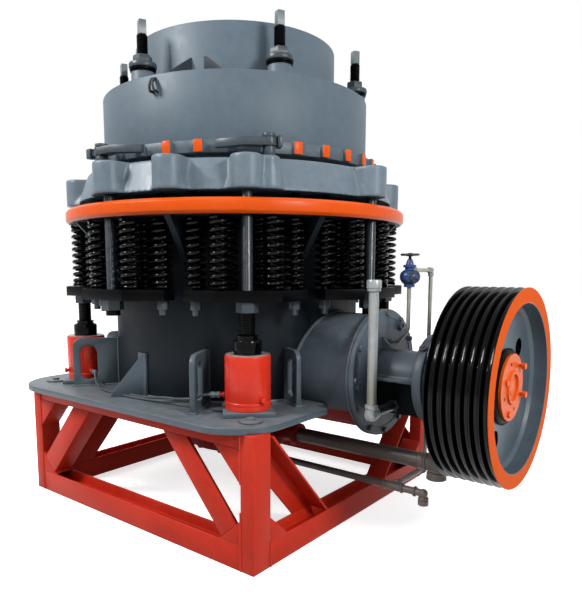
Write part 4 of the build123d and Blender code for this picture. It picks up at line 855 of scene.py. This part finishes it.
# Thin hydraulic lines of bent steel tube run from the couplings over the plate, through the lugs' slots and
# round the shell.
# Dull grey
tube_grey = enamel("grey_paint_on_steel_tube", "#4A5156", "#383E42", rough=0.4, cast=0.2)
COUPLING_END = 0.172
start, away = [spot + COUPLING_END * Vector((math.cos(math.radians(out)), math.sin(math.radians(out)), 0))
               for spot, out in ports]
runs = [
    ([start, start + Vector((-0.04, -0.03, -0.004)), (0.43, -0.745, 0.690), (0.33, -0.765, 0.672),
      (0.20, -0.755, 0.664), (0.10, -0.745, 0.645), (0.0, -0.745, 0.640), (-0.10, -0.750, 0.640)], 0.0065),
    ([(0.43, -0.735, 0.672), (0.30, -0.745, 0.655), (0.16, -0.760, 0.640), (0.0, -0.770, 0.638),
      (-0.12, -0.775, 0.638), (-0.26, -0.760, 0.640), (-0.36, -0.730, 0.644), (-0.43, -0.700, 0.662), away], 0.006),
    ([(-0.10, -0.750, 0.640), (-0.2, -0.748, 0.639), (-0.32, -0.72, 0.640), (-0.44, -0.66, 0.640),
      (-0.56, -0.54, 0.640)], 0.0065)]
lines = [line("run", points, radius, 6, "NURBS") for points, radius in runs]
finished(together("hydraulic_lines", lines), tube_grey, "main_frame", 60)


# The oil return and supply pipes are screwed steel pipe in brown primer, with beaded tees, elbows and sockets.
# The return pipe's flange on the hub is red with it.
# Matt, darker with oil towards the hub
brown_pipe = enamel("brown_primer_on_steel_pipe", "#6E655E", "#5A514B", rough=0.46, cast=0.3, stain_and_shade="#2E2423",
                    stain_and_shade_z=(0.45, 1.25), stain_and_shade_axis="X")
RETURN_Z = 0.360
SUPPLY_Y, SUPPLY_Z = -0.12, 0.247
return_pipe = softened("return_pipe", brown_pipe, 0.002)
# The flange on the hub takes the same dark red of painted shade under the plate
second_coat(return_pipe, hub_red, lambda middle, normal: middle.x < 0.4605)
softened("supply_pipe", brown_pipe, 0.002)
ring = turned("ring", [
    (0.0375, 0), (0.0415, 0.001), (0.043, 0.004), (0.043, 0.010), (0.0415, 0.013), (0.0375, 0.014)], 32)
big_rings = copies(ring, "return_pipe_rings", [
    along_x(1.172, 0, RETURN_Z), along_x(1.205, 0, RETURN_Z), Matrix.Translation((1.263, 0, 0.322))])
elbow = turned("lip", [
    (0.046, 0.285), (0.0475, 0.286), (0.0475, 0.294), (0.0462, 0.296), (0.0462, 0.312), (0.044, 0.318),
    (0.040, 0.320)], 32)
elbow.matrix_world = Matrix.Translation((1.263, 0, 0))
sleeve = turned("sleeve", [(0.040, 0), (0.0425, 0.003), (0.0425, 0.030), (0.040, 0.033)], 32)
sleeve.matrix_world = along_x(1.172, 0, RETURN_Z)
small = turned("ring", [
    (0.0165, 0), (0.0225, 0.002), (0.024, 0.004), (0.024, 0.010), (0.0225, 0.012), (0.0165, 0.014)], 24)
small_rings = copies(small, "supply_pipe_rings", [
    along_x(1.045, SUPPLY_Y, SUPPLY_Z), along_x(1.140, SUPPLY_Y, SUPPLY_Z), along_x(1.205, SUPPLY_Y, SUPPLY_Z),
    Matrix.Translation((1.254, SUPPLY_Y, 0.216)), Matrix.Translation((1.254, SUPPLY_Y, 0.190)),
    toward((1.100, -0.098, SUPPLY_Z), 90), toward((1.100, 0.190, SUPPLY_Z), 90)])
tee = turned("tee", [(0.0165, 0), (0.0205, 0.003), (0.0205, 0.090), (0.0165, 0.095)], 24)
tee.matrix_world = along_x(1.050, SUPPLY_Y, SUPPLY_Z)
joint = turned("joint", [(0.0145, 0), (0.0185, 0.003), (0.0185, 0.040), (0.0145, 0.043)], 20)
joint.matrix_world = toward((1.100, -0.10, SUPPLY_Z), 90)


def knee(place, radius, sides):
    """The round corner of a screwed elbow."""
    bpy.ops.object.select_all(action="DESELECT")
    bpy.ops.mesh.primitive_uv_sphere_add(segments=sides, ring_count=12, radius=radius, location=place)
    return bpy.context.object


corner_fitting = knee((1.254, SUPPLY_Y, SUPPLY_Z), 0.0205, 24)
fittings = together("oil_pipe_fittings", [big_rings, elbow, sleeve, small_rings, tee, joint, corner_fitting])
finished(fittings, brown_pipe, "main_frame", 50)


# The filler pipe is galvanised, stained brown below, with a fluted cap on top and a bulky elbow at its foot
# that turns into the sump.
# Pale grey, some shine, brown near the foot
zinc = enamel("galvanised_steel_pipe", "#A6AAA9", "#8A8E8D", rough=0.33, gloss=0.8, cast=0.25, stain_and_shade="#7C7A6E",
              stain_and_shade_z=(0.72, 0.96))
# Nearly black
run_dark = enamel("dark_paint_on_steel_pipe", "#2A3033", "#1B2022", rough=0.4, gloss=0.3, cast=0.3)
filler_axis = Matrix.Translation((1.080, -0.310, 0))
RUN_Z = 0.632
fall = turned("fall", [(0.0215, 0.655), (0.0215, 1.184)], 32)
fall.matrix_world = filler_axis
pipe = finished(together("filler_fall", [fall]), zinc, "main_frame")
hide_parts("filler_pipe")
run = turned("run", [(0.0215, 0), (0.0215, 0.205)], 32)
run.matrix_world = toward((1.080, -0.300, RUN_Z), 90)
nut = turned("nut", [(0.031, 0.190), (0.032, 0.193), (0.032, 0.215)], 6)
nut.matrix_world = toward((1.080, -0.300, RUN_Z), 90)
finished(together("filler_run", [run, nut]), run_dark, "main_frame")
# Shinier than the pipe
bright_zinc = enamel("freshly_galvanised_fitting", "#A4A9AA", "#7F8485", rough=0.28, gloss=0.9, cast=0.25)
cap = turned("cap", [(0.0225, 1.176), (0.029, 1.178), (0.030, 1.181), (0.030, 1.190), (0.0325, 1.192),
                     (0.0325, 1.222), (0.030, 1.227), (0.026, 1.228)], 48)
# Every third face of its wall sinks into a flute
for face in cap.data.polygons:
    step = int(math.degrees(math.atan2(face.center.y, face.center.x)) // 7.5)
    face.select = abs(face.normal.z) < 0.1 and face.center.z > 1.2 and step % 3 == 0
take(cap)
bpy.ops.object.mode_set(mode="EDIT")
bpy.ops.mesh.extrude_region_shrink_fatten(TRANSFORM_OT_shrink_fatten={"value": -0.0022})
bpy.ops.object.mode_set(mode="OBJECT")
cap.matrix_world = filler_axis
elbow = turned("elbow", [
    (0.012, 0.599), (0.021, 0.603), (0.028, 0.613), (0.0305, 0.628), (0.029, 0.642), (0.0262, 0.650),
    (0.0262, 0.655), (0.029, 0.657), (0.030, 0.660), (0.030, 0.668), (0.029, 0.672), (0.0215, 0.674)], 40)
elbow.matrix_world = filler_axis
collar = turned("collar", [(0.0215, 0), (0.0275, 0.002), (0.0275, 0.012), (0.0215, 0.014)], 32)
collar.matrix_world = toward((1.080, -0.286, RUN_Z), 90)
finished(together("filler_fittings", [cap, elbow, collar]), bright_zinc, "main_frame", 40)


# A small globe valve in blue enamel stands on the tube's oil line: a round body with a bolted flange towards
# the front, a bonnet, a spindle and a black cast handwheel. Its pipes are galvanised.
# Pale grey, slightly yellow
pale_zinc = enamel("galvanised_steel_tube", "#A3A297", "#85847A", rough=0.38, gloss=0.7, cast=0.25)
stem = line("stem", [(1.100, -0.012, 1.196), (1.100, -0.012, 1.10), (1.100, -0.012, 1.02), (1.099, -0.010, 0.985),
                     (1.062, 0.019, 0.955), (1.022, 0.049, 0.923), (0.998, 0.066, 0.915), (0.975, 0.069, 0.915)],
            0.0096, 8, "NURBS")
riser = line("riser", [(1.100, 0.225, 0.262), (1.100, 0.225, 1.20), (1.100, 0.225, 1.268), (1.100, 0.180, 1.268),
                       (1.100, 0.026, 1.268)], 0.0098, 8)
pipes = finished(together("valve_tubes", [stem, riser]), pale_zinc, "main_frame", 50)
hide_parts("valve_pipes")
# Deep blue, half gloss
valve_blue = enamel("blue_enamel_on_cast_valve", "#274678", "#1C3462", rough=0.34, cast=0.3)
body = turned("valve_body", [
    (0.022, 1.189), (0.025, 1.191), (0.025, 1.203), (0.036, 1.212), (0.044, 1.226), (0.0455, 1.242), (0.041, 1.256),
    (0.030, 1.266), (0.022, 1.270), (0.022, 1.280), (0.030, 1.282), (0.030, 1.292), (0.019, 1.294), (0.016, 1.306),
    (0.011, 1.318)], 32)
valve_axis = Matrix.Translation((1.100, -0.012, 0))
body.matrix_world = valve_axis
globe = finished(together("globe_valve", [body]), valve_blue, "main_frame", 40)
gland = turned("gland", [
    (0.029, 0.026), (0.030, 0.030), (0.030, 0.040), (0.028, 0.042), (0.015, 0.042), (0.0135, 0.036)], 32)
flange_axis = toward((1.100, -0.012, 1.238), -24)
gland.matrix_world = flange_axis
studs = [turned("stud", [(0.0048, 0.040), (0.0048, 0.046), (0.0038, 0.047)], 6) for _ in range(4)]
for i, stud in enumerate(studs):
    angle = math.pi / 4 + math.pi / 2 * i
    stud.matrix_world = flange_axis @ Matrix.Translation((0.0215 * math.cos(angle), 0.0215 * math.sin(angle), 0))
# Dark grey and grainy
iron_dark = enamel("bare_dark_cast_iron", "#34393C", "#222628", rough=0.45, gloss=0.4, cast=0.5)
finished(together("valve_side_flange", [gland] + studs), iron_dark, "main_frame", 40)
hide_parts("oil_valve")
spindle = turned("spindle", [(0.010, 1.312), (0.010, 1.320), (0.0065, 1.322), (0.0065, 1.347), (0.004, 1.349)], 16)
spindle.matrix_world = valve_axis
finished(together("valve_spindle", [spindle]), rod_black, "main_frame")
elbows = [knee((1.100, 0.225, z), 0.0145, 20) for z in (1.268, SUPPLY_Z)]
ring = turned("ring", [(0.010, 0), (0.0142, 0.002), (0.0142, 0.016), (0.010, 0.018)], 20)
elbows.append(copies(ring, "rings", [
    Matrix.Translation((1.100, 0.225, 1.238)), Matrix.Translation((1.100, 0.225, 0.262)),
    toward((1.100, 0.198, 1.268), 90), toward((1.100, 0.036, 1.268), 90)]))
finished(together("valve_tube_elbows", elbows), pale_zinc, "main_frame", 50)
parts = [hoop(0.039, 0.0052, 0, 48, 12)]
spoke = turned("spoke", [(0.005, 0.008), (0.0036, 0.022), (0.0044, 0.037)], 10)
parts.append(copies(spoke, "spokes", [toward((0, 0, 0), 120 * i) for i in range(3)]))
parts.append(turned("boss", [(0.012, -0.008), (0.016, -0.006), (0.016, 0.005), (0.010, 0.008)], 24))
wheel = together("valve_handwheel", parts)
wheel.matrix_world = valve_axis @ Matrix.Translation((0, 0, 1.340))
wheel = together("valve_handwheel", [wheel])
# Dark, half matt
wheel_black = enamel("black_enamel_on_cast_iron", "#1A1B1D", "#101112", rough=0.36, cast=0.3)
finished(wheel, wheel_black, "handwheel", 50)
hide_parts("handwheel")
